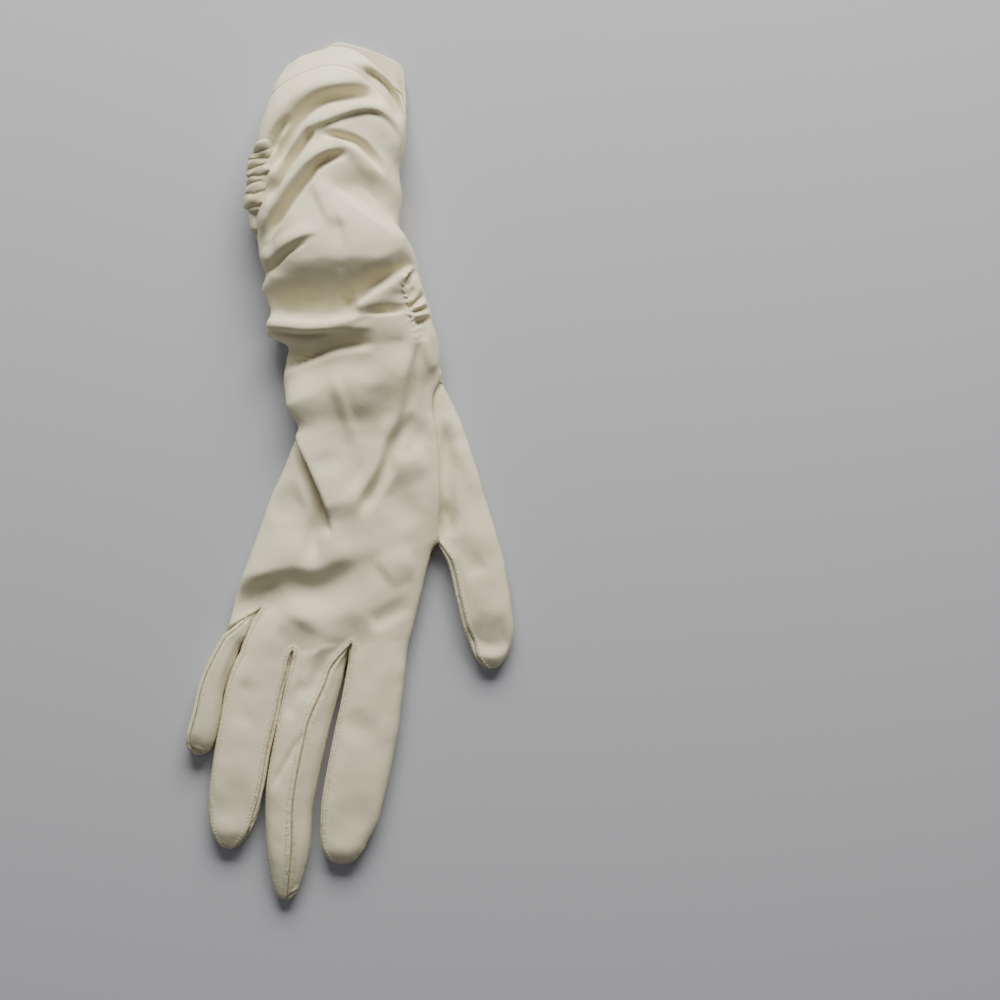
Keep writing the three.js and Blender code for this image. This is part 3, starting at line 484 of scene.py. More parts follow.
def fold_shape(x, y, fold):
    """How far a fold lifts each point, how far it rolls it aside, and how deep in a crease the point is."""
    lift = np.zeros_like(x)
    aside = np.zeros(x.shape + (2,))
    depth = np.zeros_like(x)
    course = line_through(fold.line, FOLD_LINE_STEPS)
    near = near_line(x, y, course, max(fold.left, fold.right))
    if not near.any():
        return lift, aside, depth
    start, step = course[:-1], np.diff(course, axis=0)
    from_start = np.stack([x[near], y[near]], axis=-1)[:, None] - start
    t = np.clip((from_start * step).sum(axis=-1) / (step**2).sum(axis=-1), 0, 1)
    gap = from_start - t[..., None] * step
    distance = np.hypot(gap[..., 0], gap[..., 1])
    best = distance.argmin(axis=1)
    rows = np.arange(len(best))
    run = (best + t[rows, best]) / len(start)
    way = step[best]
    on_left = way[:, 0] * from_start[rows, best, 1] - way[:, 1] * from_start[rows, best, 0] > 0
    flank = np.clip(distance[rows, best] / np.where(on_left, fold.left, fold.right), 0, 1)
    bump = lerp((1 - flank**2) ** 2, (1 - flank) ** 2, fold.sharp)
    bump = bump * swell(run, 0, fold.fades, 1, fold.fades)
    lift[near] = fold.rise * bump
    to_right = np.stack([way[:, 1], -way[:, 0]], axis=-1)
    to_right /= np.linalg.norm(to_right, axis=-1, keepdims=True)
    aside[near] = (abs(fold.rise) * fold.lean * bump)[:, None] * to_right
    depth[near] = max(0.0, -fold.rise) * fold.sharp * bump**2
    return lift, aside, depth


def all_folds(folds, x, y):
    """The folds of a table together."""
    shapes = [fold_shape(x, y, Fold(*fold)) for fold in folds]
    return [sum(parts) for parts in zip(*shapes)]


RIPPLE_WAVES = 14
RIPPLE_LENGTHS = (0.7, 1.8)


def ripples(x, y, scale, seed):
    """Soft irregular waves between about -1 and 1, whose length is near the scale."""
    draw = np.random.default_rng(seed)
    total = np.zeros_like(x)
    for _ in range(RIPPLE_WAVES):
        angle, phase = draw.uniform(0, 2 * math.pi, 2)
        pitch = 2 * math.pi / (scale * draw.uniform(*RIPPLE_LENGTHS))
        total += np.sin(pitch * (x * math.cos(angle) + y * math.sin(angle)) + phase)
    return total / math.sqrt(RIPPLE_WAVES)


# The gathered seam on the inner side, above the thumb, and the puckers that it draws into the cloth
INNER_SEAM = [(24.9, 75.6), (22.8, 73.4), (21.3, 71.2), (20.8, 69), (21.2, 67.2), (20.6, 65.7), (21.7, 64.2),
              (22.3, 62.6), (22.6, 60.8), (23.4, 59.2), (23.4, 57.8), (22.9, 56.6), (24.5, 55.6), (25.4, 54),
              (26, 51.5), (26.4, 49), (26.8, 46.5), (27.6, 43.5), (29, 40)]
PUCKERS = Named(
    length=2.4, rise=0.35, reach=4.0, stagger=0.8, pinch=0.6, starts_over=3, ends_at=0.9, ends_over=10
)


def gather_puckers(x, y):
    """Short ripples that run out of the gathered seam on both sides."""
    course = line_through(INNER_SEAM, PUCKER_LINE_STEPS)
    run = run_along(course)
    rise = np.zeros_like(x)
    near = near_line(x, y, course, PUCKERS.reach)
    if not near.any():
        return rise
    gap = np.hypot(x[near][:, None] - course[:, 0], y[near][:, None] - course[:, 1])
    best = gap.argmin(axis=1)
    along = run[best]
    away = np.clip(gap[np.arange(len(best)), best] / PUCKERS.reach, 0, 1)
    side = np.sign(x[near] - course[best, 0])
    wave = np.sin(2 * np.pi * along / PUCKERS.length + PUCKERS.stagger * side)
    fade = swell(along, 0, PUCKERS.starts_over, PUCKERS.ends_at * run[-1], PUCKERS.ends_over)
    rise[near] = PUCKERS.rise * fade * (1 - away) ** 2 * (wave - PUCKERS.pinch * (1 - away) ** 4)
    return rise


def crown(q, fullness):
    """The height of a cross-section at q, which runs from -1 at the left side to 1 at the right."""
    return (1 - np.minimum(1, np.abs(q)) ** fullness) ** (1 / fullness)


knuckles = SECTIONS.at(SECTIONS.last)
knuckle_across = (CROTCHES.column("x") - knuckles.left_x) / (knuckles.right_x - knuckles.left_x)
knuckle_stops = np.array([-1, *(knuckle_across * 2 - 1), 1])
straight_knuckles = lerp(knuckles.left_y, knuckles.right_y, knuckle_across)
knuckle_shifts = np.array([0, *(CROTCHES.column("y") - straight_knuckles), 0])

# Powers of q: the higher, the nearer to the sides the folds fade and the cloth leans outwards
FOLD_SIDE_FADE = 14
SIDE_LEAN = 3


def arm_point(place, part, on_back):
    """Points of the sleeve or hand at places along the sections, part of the way across from its left side
    to its right one, on the back or on the palm."""
    s = SECTIONS.at(place)
    bend = smooth((KNUCKLE_BEND_FROM - s.left_y) / (KNUCKLE_BEND_FROM - knuckles.left_y))
    stops = np.linspace(0, 1, len(knuckle_stops))
    q = lerp(-np.cos(np.pi * part), np.interp(part, stops, knuckle_stops), bend)
    shift = np.interp(part, stops, knuckle_shifts)
    across = (q + 1) / 2
    x = lerp(s.left_x, s.right_x, across)
    opening = OPENING.by("q", q)
    edge = opening.front if on_back else opening.lip
    settled = smooth(place / OPENING_FADES_BY)
    arch = lerp(edge, s.arch * (1 - q * q), settled)
    y = lerp(s.left_y, s.right_y, across) + arch + shift * bend**2
    mouth = np.maximum(0, s.mouth) / 2 * np.clip(q, 0, 1) ** SIDE_LEAN
    height = crown(q, ARM_FULLNESS)
    if not on_back:
        z = (s.side - mouth) * (1 - REST_FLATTENING * height)
        return stacked(x, y, np.maximum(0, z))
    z = lerp(s.side + mouth, s.top, height)
    dip = np.zeros_like(x)
    for cx, cy, top in CROTCHES.rows:
        near = np.clip(1 - np.hypot(x - cx, y - cy) / CROTCH_DIP_REACH, 0, 1)
        dip = np.maximum(dip, (s.top - top) * smooth(near))
    rise, aside, _ = all_folds(SLEEVE_FOLDS + HAND_FOLDS, *as_seen(x, y, z))
    rise = rise + gather_puckers(x, y)
    inward = 1 - np.abs(q) ** FOLD_SIDE_FADE
    rise = rise * inward
    flare = np.abs(q) ** SIDE_LEAN * np.sign(q)
    slant = np.hypot(flare, 1)
    z = z + rise / slant - dip
    x = x + rise * flare / slant + aside[..., 0] * inward
    y = y + aside[..., 1] * inward
    return stacked(x, y, z)


def places_through(table, distance, step_at):
    """Places that hit every row of a table and split the stretches between them evenly."""
    places = [0.0]
    for i in range(1, table.last + 1):
        parts = max(1, round(distance(table.at(i - 1), table.at(i)) / step_at(i)))
        places += [i - 1 + k / parts for k in range(1, parts + 1)]
    return np.array(places)


def crowded(parts, crowding):
    """Stops from 0 to 1 that are crowded towards both ends."""
    t = np.linspace(0, 1, parts + 1)
    return lerp(t, (1 - np.cos(np.pi * t)) / 2, crowding)


def grid_quads(ids):
    """The faces between the rows and columns of a grid of points."""
    return np.stack([ids[:-1, :-1], ids[1:, :-1], ids[1:, 1:], ids[:-1, 1:]], axis=-1).reshape(-1, 4)


# Points that round to the same thousandth of a millimetre are welded. The distance from a seam is
# measured from so many points on each of its edges.
WELDS_IN_A_MILLIMETRE = 1e3
SEAM_SAMPLES = 4


class Skin:
    """The glove's outer surface: welded points, and faces that each belong to one cut of cloth."""

    def __init__(self):
        self.parts, self.clothes, self.faces, self.count = [], [], defaultdict(list), 0
        self.plain_folds, self.closed_seams = [], []

    def grid(self, cut, points, across, along):
        """Rows run towards the fingertips, and their points clockwise round the arm as seen from the
        opening. Across and along are the cloth's own coordinates, for its knit."""
        rows, columns = points.shape[:2]
        ids = self.count + np.arange(rows * columns).reshape(rows, columns)
        self.faces[cut].append(grid_quads(ids))
        self.parts.append(points.reshape(-1, 3))
        self.clothes.append(np.broadcast_to(stacked(across, along), (rows, columns, 2)).reshape(-1, 2))
        self.count += rows * columns
        return ids

    def weld(self):
        """Joins the points that lie together, drops the faces that close up and finds the seams."""
        points = np.concatenate(self.parts)
        keys = np.round(points * WELDS_IN_A_MILLIMETRE).astype(np.int64)
        _, first, merged = np.unique(keys, axis=0, return_index=True, return_inverse=True)
        merged = merged.reshape(-1)
        self.points = points[first]
        self.cloth = np.concatenate(self.clothes)
        self.corners, self.belongs = {}, {}
        cuts_at = defaultdict(set)
        for cut, grids in self.faces.items():
            raw = np.concatenate(grids)
            kept = []
            for loop, ids in zip(raw.tolist(), merged[raw].tolist()):
                pairs = [(a, b) for k, (a, b) in enumerate(zip(loop, ids)) if b != ids[k - 1]]
                if len(pairs) >= 3 and len({b for _, b in pairs}) == len(pairs):
                    kept.append(pairs)
                    for k, (_, b) in enumerate(pairs):
                        cuts_at[min(b, pairs[k - 1][1]), max(b, pairs[k - 1][1])].add(cut)
            self.corners[cut] = kept
            self.belongs[cut] = np.zeros(len(self.points), bool)
            self.belongs[cut][[b for pairs in kept for _, b in pairs]] = True
        plain = {int(merged[i]) for ids in self.plain_folds for i in ids}
        self.seams = defaultdict(list)
        for (a, b), cuts in cuts_at.items():
            if len(cuts) < 2 or (cuts == {"back", "palm"} and a in plain and b in plain):
                continue
            kind = "hem" if "hem" in cuts else "set_in" if cuts == {"back", "thumb"} else "finger"
            if not cuts <= {"hem"} and not (kind == "hem" and len(cuts) > 2):
                self.seams[kind].append((a, b))
        for ids in self.closed_seams:
            line = merged[ids].tolist()
            self.seams["finger"] += [(a, b) for a, b in zip(line, line[1:]) if a != b]

    def normals(self):
        total = np.zeros_like(self.points)
        for faces in self.corners.values():
            ids = np.array([[b for _, b in face] + [face[-1][1]] * (4 - len(face)) for face in faces])
            p = self.points[ids]
            way = np.cross(p[:, 2] - p[:, 0], p[:, 3] - p[:, 1])
            for k in range(4):
                np.add.at(total, ids[:, k], way)
        return total / np.maximum(np.linalg.norm(total, axis=1, keepdims=True), 1e-9)

    def distance(self, kind, reach):
        """How far each point is from the nearest seam of a kind, up to a reach."""
        ends = self.points[np.array(self.seams[kind])]
        stops = np.linspace(0, 1, SEAM_SAMPLES)[None, :, None]
        samples = lerp(ends[:, :1], ends[:, 1:], stops).reshape(-1, 3)
        tree = KDTree(len(samples))
        for i, sample in enumerate(samples):
            tree.insert(sample, i)
        tree.balance()
        low, high = samples.min(axis=0) - reach, samples.max(axis=0) + reach
        found = np.full(len(self.points), float(reach))
        for i in np.nonzero(np.all((self.points > low) & (self.points < high), axis=1))[0]:
            found[i] = min(reach, tree.find(self.points[i])[2])
        return found


def arm_distance(a, b):
    """How far apart two sections are at the middle of the back."""
    return (a.left_y + a.right_y - b.left_y - b.right_y) / 2 + a.arch - b.arch


def cloth_length(points):
    """How far along the cloth each row is, from the mean distance between rows."""
    steps = np.linalg.norm(np.diff(points, axis=0), axis=-1).mean(axis=1)
    return np.concatenate([[0], np.cumsum(steps)])[:, None]


# How wide the trank's cloth is, for its knit
TRANK_WIDTH = 150.0
arm_places = places_through(SECTIONS, arm_distance, lambda i: SLEEVE_STEP if i <= WRIST + 1 else HAND_STEP)


def finger_parts(columns, place):
    """Where the columns are across the arm: even in the sleeve, crowded at the crotches by the knuckles."""
    even = np.linspace(0, 1, 4 * columns + 1)
    finger = crowded(columns, SEAM_CROWDING)
    knuckle = np.concatenate([(k + finger[: columns + (k == 3)]) / 4 for k in range(4)])
    return lerp(even, knuckle, smooth((place - WRIST) / (SECTIONS.last - WRIST)))


def add_arm(skin):
    """The hem, then the sleeve and the hand down to the knuckles, back and palm."""
    rows = arm_places[:, None]
    back = arm_point(rows, finger_parts(BACK_COLUMNS, rows), True)
    palm = arm_point(rows, 1 - finger_parts(PALM_COLUMNS, rows), False)
    hem = int(np.searchsorted(arm_places, HEM_ENDS_AT))
    along = cloth_length(back[:, BACK_COLUMNS : 3 * BACK_COLUMNS])
    sides = [
        ("back", back, finger_parts(BACK_COLUMNS, rows)),
        ("palm", palm, 1 + finger_parts(PALM_COLUMNS, rows)),
    ]
    for cut, points, share in sides:
        across = share * TRANK_WIDTH / 2
        skin.grid("hem", points[: hem + 1], across[: hem + 1], along[: hem + 1])
        ids = skin.grid(cut, points[hem:], across[hem:], along[hem:])
        if cut == "back":
            skin.plain_folds += [ids[:, 0], ids[:, -1]]
    return back[-1], palm[-1], float(along[-1, 0])


def finger_point(station, ahead, angle):
    """A point of a finger's section at an angle, on a centre line that heads the way of ahead."""
    c, s = np.cos(np.radians(angle)), np.sin(np.radians(angle))
    power = 2 / FINGER_FULLNESS
    side = -np.sign(c) * np.abs(c) ** power * station.width / 2
    up = np.sign(s) * np.abs(s) ** power
    middle = station.height * FINGER_WIDEST_AT
    reach = np.where(up > 0, station.height - middle, middle * REST_FLATTENING)
    x = station.x - ahead[1] * side
    y = station.y + ahead[0] * side
    return stacked(x, y, np.maximum(0, middle + up * reach))


def in_columns(stations):
    """Stations whose values stand in columns, so that they go with rows of angles."""
    return Named(**{name: value[:, None] for name, value in vars(stations).items()})


# How far along the stations a heading is taken, before and after its place
HEADING_REACH = 0.3


def headings(table, places):
    """The way that a centre line heads at places along it."""
    before = table.at(np.maximum(0, places - HEADING_REACH))
    after = table.at(np.minimum(table.last, places + HEADING_REACH))
    way = np.stack([after.x - before.x, after.y - before.y])
    return way / np.hypot(*way)


def station_distance(a, b):
    return math.hypot(a.x - b.x, a.y - b.y)


# How many stretches between stations belong to the tip
TIP_STATIONS = 3


def finger_places(stations):
    """Rows along a finger or the thumb, closer together at its tip."""
    near_tip = stations.last - TIP_STATIONS
    return places_through(stations, station_distance, lambda i: FINGER_STEP if i <= near_tip else TIP_STEP)


def seam_angles(finger, from_knuckle, to_tip):
    """The four seams of a finger at distances from its knuckle and from its tip."""
    turned = smooth(from_knuckle / finger.turns_over)
    seams = [lerp(a, b, turned) for a, b in zip(finger.knuckle_seams, finger.tip_seams)]
    closed = smooth((finger.fork_ends + finger.fork_taper - to_tip) / finger.fork_taper)
    right = lerp(seams[1], seams[2], finger.fork_sinks)
    left = lerp(seams[0], seams[3] - 360, finger.fork_sinks)
    return [lerp(a, b, closed) for a, b in zip(seams, (left, right, right, left + 360))]


# The rows between the knuckles and a finger's first station, how far from its tip the index finger's
# plain fold ends, after how many more rows the little finger's outer seam starts, and how far apart the
# fingers' knits are on the cloth
ROOT_ROWS = 8
PLAIN_FOLD_ENDS = 7.0
LITTLE_SEAM_ROWS = 3
FINGER_CLOTH = 20.0


def add_finger(skin, number, knuckle_back, knuckle_palm, crotch_columns, along_from):
    """One finger: its back, the fork on its right, its palm side and the fork on its left."""
    finger = FINGERS[number]
    stations = finger.stations
    places = finger_places(stations)
    at = stations.at(places)
    lengths = run_along(stacked(at.x, at.y))
    to_tip = lengths[-1] - lengths
    ahead = headings(stations, places)
    seams = seam_angles(finger, lengths + HAND_STEP, to_tip)
    left_fork, right_fork = crotch_columns.get(number - 1), crotch_columns.get(number)
    root_stops = np.linspace(0, 1, ROOT_ROWS + 1)
    back = knuckle_back[number * BACK_COLUMNS : (number + 1) * BACK_COLUMNS + 1]
    palm = knuckle_palm[(3 - number) * PALM_COLUMNS : (4 - number) * PALM_COLUMNS + 1]
    sides = [
        ("back", back, seams[0], seams[1], SEAM_CROWDING),
        (FORKS[number] if number < 3 else None, right_fork, seams[1], seams[2], 0),
        ("palm", palm, seams[2], seams[3], SEAM_CROWDING),
        (FORKS[number - 1] if number else None, left_fork, seams[3], seams[0] + 360, 0),
    ]
    for cut, start, low, high, crowding in sides:
        if cut is None:
            continue
        if start is left_fork:
            start = start[::-1]
        angles = lerp(low[:, None], high[:, None], crowded(len(start) - 1, crowding))
        free = finger_point(in_columns(at), ahead[:, :, None], angles)
        root = lerp(start, free[0], root_stops[:, None, None])
        bent = 1 - (1 - root_stops[:, None]) ** finger.root_curve
        root[..., 0] = lerp(start[:, 0], free[0, :, 0], bent)
        root[..., 2] = lerp(start[:, 2], free[0, :, 2], smooth(root_stops[:, None]))
        points = np.concatenate([root, free[1:]])
        across = run_along(points[len(points) // 3]) + FINGER_CLOTH * number
        ids = skin.grid(cut, points, across, along_from + cloth_length(points))
        if cut == "back" and number == 3:
            skin.plain_folds.append(ids[: ROOT_ROWS + np.count_nonzero(to_tip > PLAIN_FOLD_ENDS), -1])
        if cut == "back" and number == 0:
            skin.plain_folds.append(ids[: ROOT_ROWS + LITTLE_SEAM_ROWS, 0])


def crotch_columns_of(knuckle_back, knuckle_palm):
    """The short upright columns at the crotches, where the strips between the fingers start."""
    stops = np.linspace(0, 1, FORK_COLUMNS + 1)[:, None]
    return {
        k: lerp(knuckle_back[(k + 1) * BACK_COLUMNS], knuckle_palm[(3 - k) * PALM_COLUMNS], stops)
        for k in range(3)
    }


# The share of the thumb's width over which each of its edges eases into the side of the hand
THUMB_EASE = 0.22


def add_thumb(skin):
    """A sheet that is set into the side of the hand, then closes into a tube past its crotch."""
    rows = []
    stops = np.linspace(0, 1, THUMB_COLUMNS + 1)
    eased = [smooth(1 - stops / THUMB_EASE)[:, None], smooth(1 - (1 - stops) / THUMB_EASE)[:, None]]
    for place in arm_places[(arm_places >= THUMB_STARTS) & (arm_places <= THUMB_CROTCH)]:
        s = SECTIONS.at(place)
        ends = [arm_point(np.array([[place]]), np.array([[1.0]]), side)[0, 0] for side in (True, False)]
        closing = smooth((place - THUMB_CROTCH + THUMB_CLOSES_OVER) / THUMB_CLOSES_OVER)
        reach = s.thumb_x - s.right_x
        station = Named(
            x=s.right_x + reach / 2 * closing,
            y=s.right_y,
            width=reach * (2 - closing),
            height=lerp(ends[0][2], THUMB_HEIGHT, closing),
        )
        low, high = (lerp(a, b, closing) for a, b in zip(THUMB_SET_IN_ANGLES, THUMB_CLOSING_ANGLES))
        row = finger_point(station, (0, -1), lerp(low, high, stops))
        if place == THUMB_STARTS:
            row[:] = ends[0]
        row = row + eased[0] * (ends[0] - row[0]) + eased[1] * (ends[1] - row[-1])
        row[0], row[-1] = ends
        row[:, 2] = lerp(ends[0][2], row[:, 2], smooth(place - THUMB_STARTS))
        rows.append(row)
    places = finger_places(THUMB)
    ahead = headings(THUMB, places)[:, :, None]
    tube = finger_point(in_columns(THUMB.at(places)), ahead, THUMB_SEAM_ANGLE + 360 * stops)
    points = np.concatenate([np.array(rows), tube])
    ids = skin.grid("thumb", points, run_along(tube[len(tube) // 3]), cloth_length(points))
    skin.closed_seams.append(ids[len(rows) :, 0])


skin = Skin()
knuckle_back, knuckle_palm, along_at_knuckles = add_arm(skin)
crotch_columns = crotch_columns_of(knuckle_back, knuckle_palm)
for number in range(4):
    add_finger(skin, number, knuckle_back, knuckle_palm, crotch_columns, along_at_knuckles)
add_thumb(skin)
skin.weld()

# Relief along the seams: the cloth dives into a seam, lies double over its allowance and dips at the
# stitching. The hand's edge laps over the thumb, and the forks are drawn in at the crotches.
SEAM_REACH = 5.0
ALLOWANCE = 1.8
DIVE = Named(depth=0.6, width=0.6)
DOUBLE = Named(rise=0.42, starts_over=0.5, past_allowance=0.8, ends_over=1.0)
STITCH_DIP = Named(depth=0.42, width=0.6)
LAP = Named(out=1.5, up=0.5, reach=4.5, dive=1.1, valley=1.3, facing=-0.2)
CROTCH_PULL = Named(reach=3.0, inward=1.4, down=1.4)
HEM_GROOVE = 0.45
HEM_GROOVE_WIDTH = 2.4

# The cloth's own unevenness, as waves of a height, a length and a seed, and where the fingers' own folds
# start
UNEVENNESS = ((0.03, 6.0, 11), (0.13, 13.0, 12))
FINGER_FOLDS_START = -50.0

# The depth at which a crease is fully painted as shade, how far down its cloth may face, and how far
# past its allowance a seam's raw edge shows through
FULL_CREASE = 1.6
CREASE_FACING = -0.1
FUZZ = Named(past_allowance=0.9, over=1.2)

normals = skin.normals()
seam_distance = skin.distance("finger", SEAM_REACH)
set_in_distance = skin.distance("set_in", SEAM_REACH)
hem_distance = skin.distance("hem", SEAM_REACH)


def seam_relief(d):
    """How high the cloth lies at a distance from a seam."""
    dive = -DIVE.depth * np.clip(1 - d / DIVE.width, 0, 1) ** 2
    double_ends = ALLOWANCE + DOUBLE.past_allowance
    double = DOUBLE.rise * swell(d, 0, DOUBLE.starts_over, double_ends, DOUBLE.ends_over)
    dip = -STITCH_DIP.depth * np.clip(1 - np.abs(d - ALLOWANCE) / STITCH_DIP.width, 0, 1) ** 2
    return dive + double + dip


def relief():
    """How far each point of the skin moves for its seams, small folds and the cloth's own unevenness."""
    x, y, z = skin.points.T
    open_cloth = smooth(seam_distance / SEAM_REACH)
    lift = seam_relief(seam_distance)
    lift -= HEM_GROOVE * smooth(1 - hem_distance / HEM_GROOVE_WIDTH)
    lift += sum(height * ripples(x, y + z, length, seed) for height, length, seed in UNEVENNESS) * open_cloth
    has_arm_folds = skin.belongs["back"] & (y > FINGER_FOLDS_START) | skin.belongs["hem"]
    fingers = ~has_arm_folds & (normals[:, 2] > 0)
    lift[fingers] += all_folds(FINGER_FOLDS, x[fingers], y[fingers])[0] * normals[fingers, 2]
    shift = normals * lift[:, None]
    thumb, back = skin.belongs["thumb"], skin.belongs["back"]
    lap = smooth(1 - set_in_distance / LAP.reach) * (normals[:, 2] > LAP.facing)
    shift[back & ~thumb, 0] += (LAP.out * lap)[back & ~thumb]
    shift[back & ~thumb, 2] += (LAP.up * lap)[back & ~thumb]
    shift[back & thumb, 2] -= (LAP.dive * lap)[back & thumb]
    shift[thumb & ~back, 2] -= (LAP.valley * lap)[thumb & ~back]
    for k, fork in enumerate(FORKS):
        only = skin.belongs[fork] & ~back & ~skin.belongs["palm"]
        cx, cy, _ = CROTCHES.rows[k]
        pull = smooth(1 - np.hypot(x - cx, y - cy) / CROTCH_PULL.reach) * only
        shift[:, 1] += CROTCH_PULL.inward * pull
        shift[:, 2] -= CROTCH_PULL.down * pull
    return shift


# How deep each point lies in the folds' creases, for the painted shade that darkens them tan
crease_depth = all_folds(SLEEVE_FOLDS + HAND_FOLDS, *as_seen(*skin.points.T))[2]
crease_shade = np.clip(crease_depth / FULL_CREASE, 0, 1) * (normals[:, 2] > CREASE_FACING)
fuzz = smooth((ALLOWANCE + FUZZ.past_allowance - seam_distance) / FUZZ.over)
skin.points = skin.points + relief()
skin.points[:, 2] = np.maximum(0.0, skin.points[:, 2])


def mesh_object(name, points, faces, uvs=None, marks=None):
    """An object from points in millimetres, with smooth faces, the cloth's coordinates and its marks."""
    mesh = bpy.data.meshes.new(name)
    mesh.from_pydata((np.asarray(points) * MM).tolist(), [], faces)
    mesh.polygons.foreach_set("use_smooth", [True] * len(mesh.polygons))
    if uvs is not None:
        layer = mesh.uv_layers.new(name="cloth")
        layer.data.foreach_set("uv", np.asarray(uvs, float).reshape(-1))
    for mark, values in (marks or {}).items():
        attribute = mesh.attributes.new(mark, "FLOAT", "POINT")
        attribute.data.foreach_set("value", np.asarray(values, float))
    mesh.update()
    item = bpy.data.objects.new(name, mesh)
    bpy.context.scene.collection.objects.link(item)
    return item


def thicken(item, thickness):
    wall = item.modifiers.new("wall", "SOLIDIFY")
    wall.thickness = thickness * MM
    wall.offset = -1


# Where the cloth is folded too tightly for its full thickness: the opening's right end and the little
# finger's crotch
THIN_END = Named(from_x=13.0, over=5.0, share=0.1)
THIN_CROTCH = Named(reach=8.0, share=0.12)


def wall_shares():
    """The share of its cloth's thickness that the wall has at each point."""
    x, y = skin.points[:, 0], skin.points[:, 1]
    hem_end = smooth((x - THIN_END.from_x) / THIN_END.over) * skin.belongs["hem"]
    cx, cy, _ = CROTCHES.rows[0]
    crotch = smooth(1 - np.hypot(x - cx, y - cy) / THIN_CROTCH.reach)
    return lerp(1.0, THIN_END.share, hem_end) * lerp(1.0, THIN_CROTCH.share, crotch)


shares = wall_shares()


def cloth_piece(name, cuts, thickness):
    """Some cuts of the skin as one wall of cloth."""
    faces = [face for cut in cuts for face in skin.corners[cut]]
    used = sorted({b for face in faces for _, b in face})
    number = {b: i for i, b in enumerate(used)}
    uvs = [skin.cloth[a] for face in faces for a, _ in face]
    marks = {"crease": crease_shade[used], "fuzz": fuzz[used]}
    item = mesh_object(name, skin.points[used], [[number[b] for _, b in face] for face in faces], uvs, marks)
    thicken(item, thickness)
    thinned = item.vertex_groups.new(name="thinned")
    for i, share in enumerate(shares[used]):
        thinned.add([i], share, "REPLACE")
    item.modifiers["wall"].vertex_group = "thinned"
    return item


class Wire:
    """A node's output, whose arithmetic adds Math nodes."""

    def __init__(self, nodes, socket):
        self.nodes, self.socket = nodes, socket

    def math(self, operation, *others):
        return self.nodes.add("ShaderNodeMath", {"operation": operation}, dict(enumerate((self, *others))))

    def __add__(self, other):
        return self.math("ADD", other)

    def __mul__(self, other):
        return self.math("MULTIPLY", other)

    def __sub__(self, other):
        return self.math("SUBTRACT", other)

    def __rsub__(self, other):
        return self.nodes.add("ShaderNodeMath", {"operation": "SUBTRACT"}, {0: other, 1: self})

    def clamped(self):
        return self.math("MINIMUM", 1.0).math("MAXIMUM", 0.0)

    __radd__ = __add__
    __rmul__ = __mul__


class Nodes:
    """The node tree of one material."""

    def __init__(self, name):
        self.material = bpy.data.materials.new(name)
        self.material.use_nodes = True
        self.tree = self.material.node_tree
        self.tree.nodes.clear()

    def add(self, kind, settings=None, inputs=None, output=0):
        node = self.tree.nodes.new(kind)
        for name, value in (settings or {}).items():
            setattr(node, name, value)
        for key, value in (inputs or {}).items():
            if isinstance(value, Wire):
                self.tree.links.new(value.socket, node.inputs[key])
            else:
                node.inputs[key].default_value = value
        return None if output is None else Wire(self, node.outputs[output])

    def mix(self, factor, a, b):
        return self.add("ShaderNodeMix", {"data_type": "RGBA"}, {0: factor, 6: a, 7: b}, 2)

    def noise(self, place, scale, detail=2.0, roughness=0.55):
        sockets = {"Vector": place, "Scale": scale, "Detail": detail, "Roughness": roughness}
        return self.add("ShaderNodeTexNoise", {}, sockets)

    def mark(self, name):
        return self.add("ShaderNodeAttribute", {"attribute_name": name}, {}, "Fac")

    def finish(self, **sockets):
        named = {name.replace("_", " "): value for name, value in sockets.items()}
        shader = self.add("ShaderNodeBsdfPrincipled", {}, named)
        self.add("ShaderNodeOutputMaterial", {}, {"Surface": shader}, None)
        return self.material


# The pitch of the knit's ribs and of its rows, and how high each of them stands
WALE = 0.62
COURSE = 0.5
WALE_RELIEF = 0.6
STITCH_RELIEF = 0.2


def knit_height(nodes):
    """The relief of the jersey: wales of interlocked stitches along the glove."""
    coordinates = nodes.add("ShaderNodeUVMap", {"uv_map": "cloth"})
    across = nodes.add("ShaderNodeSeparateXYZ", {}, {0: coordinates})
    along = nodes.add("ShaderNodeSeparateXYZ", {}, {0: coordinates}, 1)
    wale = ((across * (1 / WALE)).math("FRACT") - 0.5).math("ABSOLUTE") * 2
    stitch = (along * (1 / COURSE) + wale * 0.5) * (2 * math.pi)
    return (1 - wale * wale) * WALE_RELIEF + stitch.math("SINE") * STITCH_RELIEF


# The noises that make the jersey uneven, from wide clouds to its grain, as a scale, a detail and a
# roughness, and how much each thing darkens it, flecks its raw edges, tints it tan or raises it. The tan
# is painted shade in the creases and random tan patches in the clouds.
CLOUD = (26.0, 3.0)
PATCHES = (90.0, 2.0)
COARSE = (620.0, 2.0, 0.6)
GRAIN = (1500.0, 2.0, 0.6)
TONE = Named(base=0.40, cloud=0.8, patches=0.4, grain=0.8, knit=0.14, raw_edge=2.4, raw_from=0.40)
FLECKS = Named(start=0.52, strength=5.0, shade=0.62)
CREASE_SHADE_AND_TAN_PATCHES = Named(crease=0.6, cloud=0.4, cloud_from=0.62)
TAN = (0.42, 0.34, 0.17, 1)
RELIEF = Named(knit=0.45, grain=0.8, coarse=0.35, raw_edge=2.2, strength=0.6, depth=0.13)

# A small dark spot on the back of the hand
SPOT = Named(place=(-4.0, 19.9, 15.0), size=0.55, raggedness=0.6, brown=(0.16, 0.10, 0.05, 1))


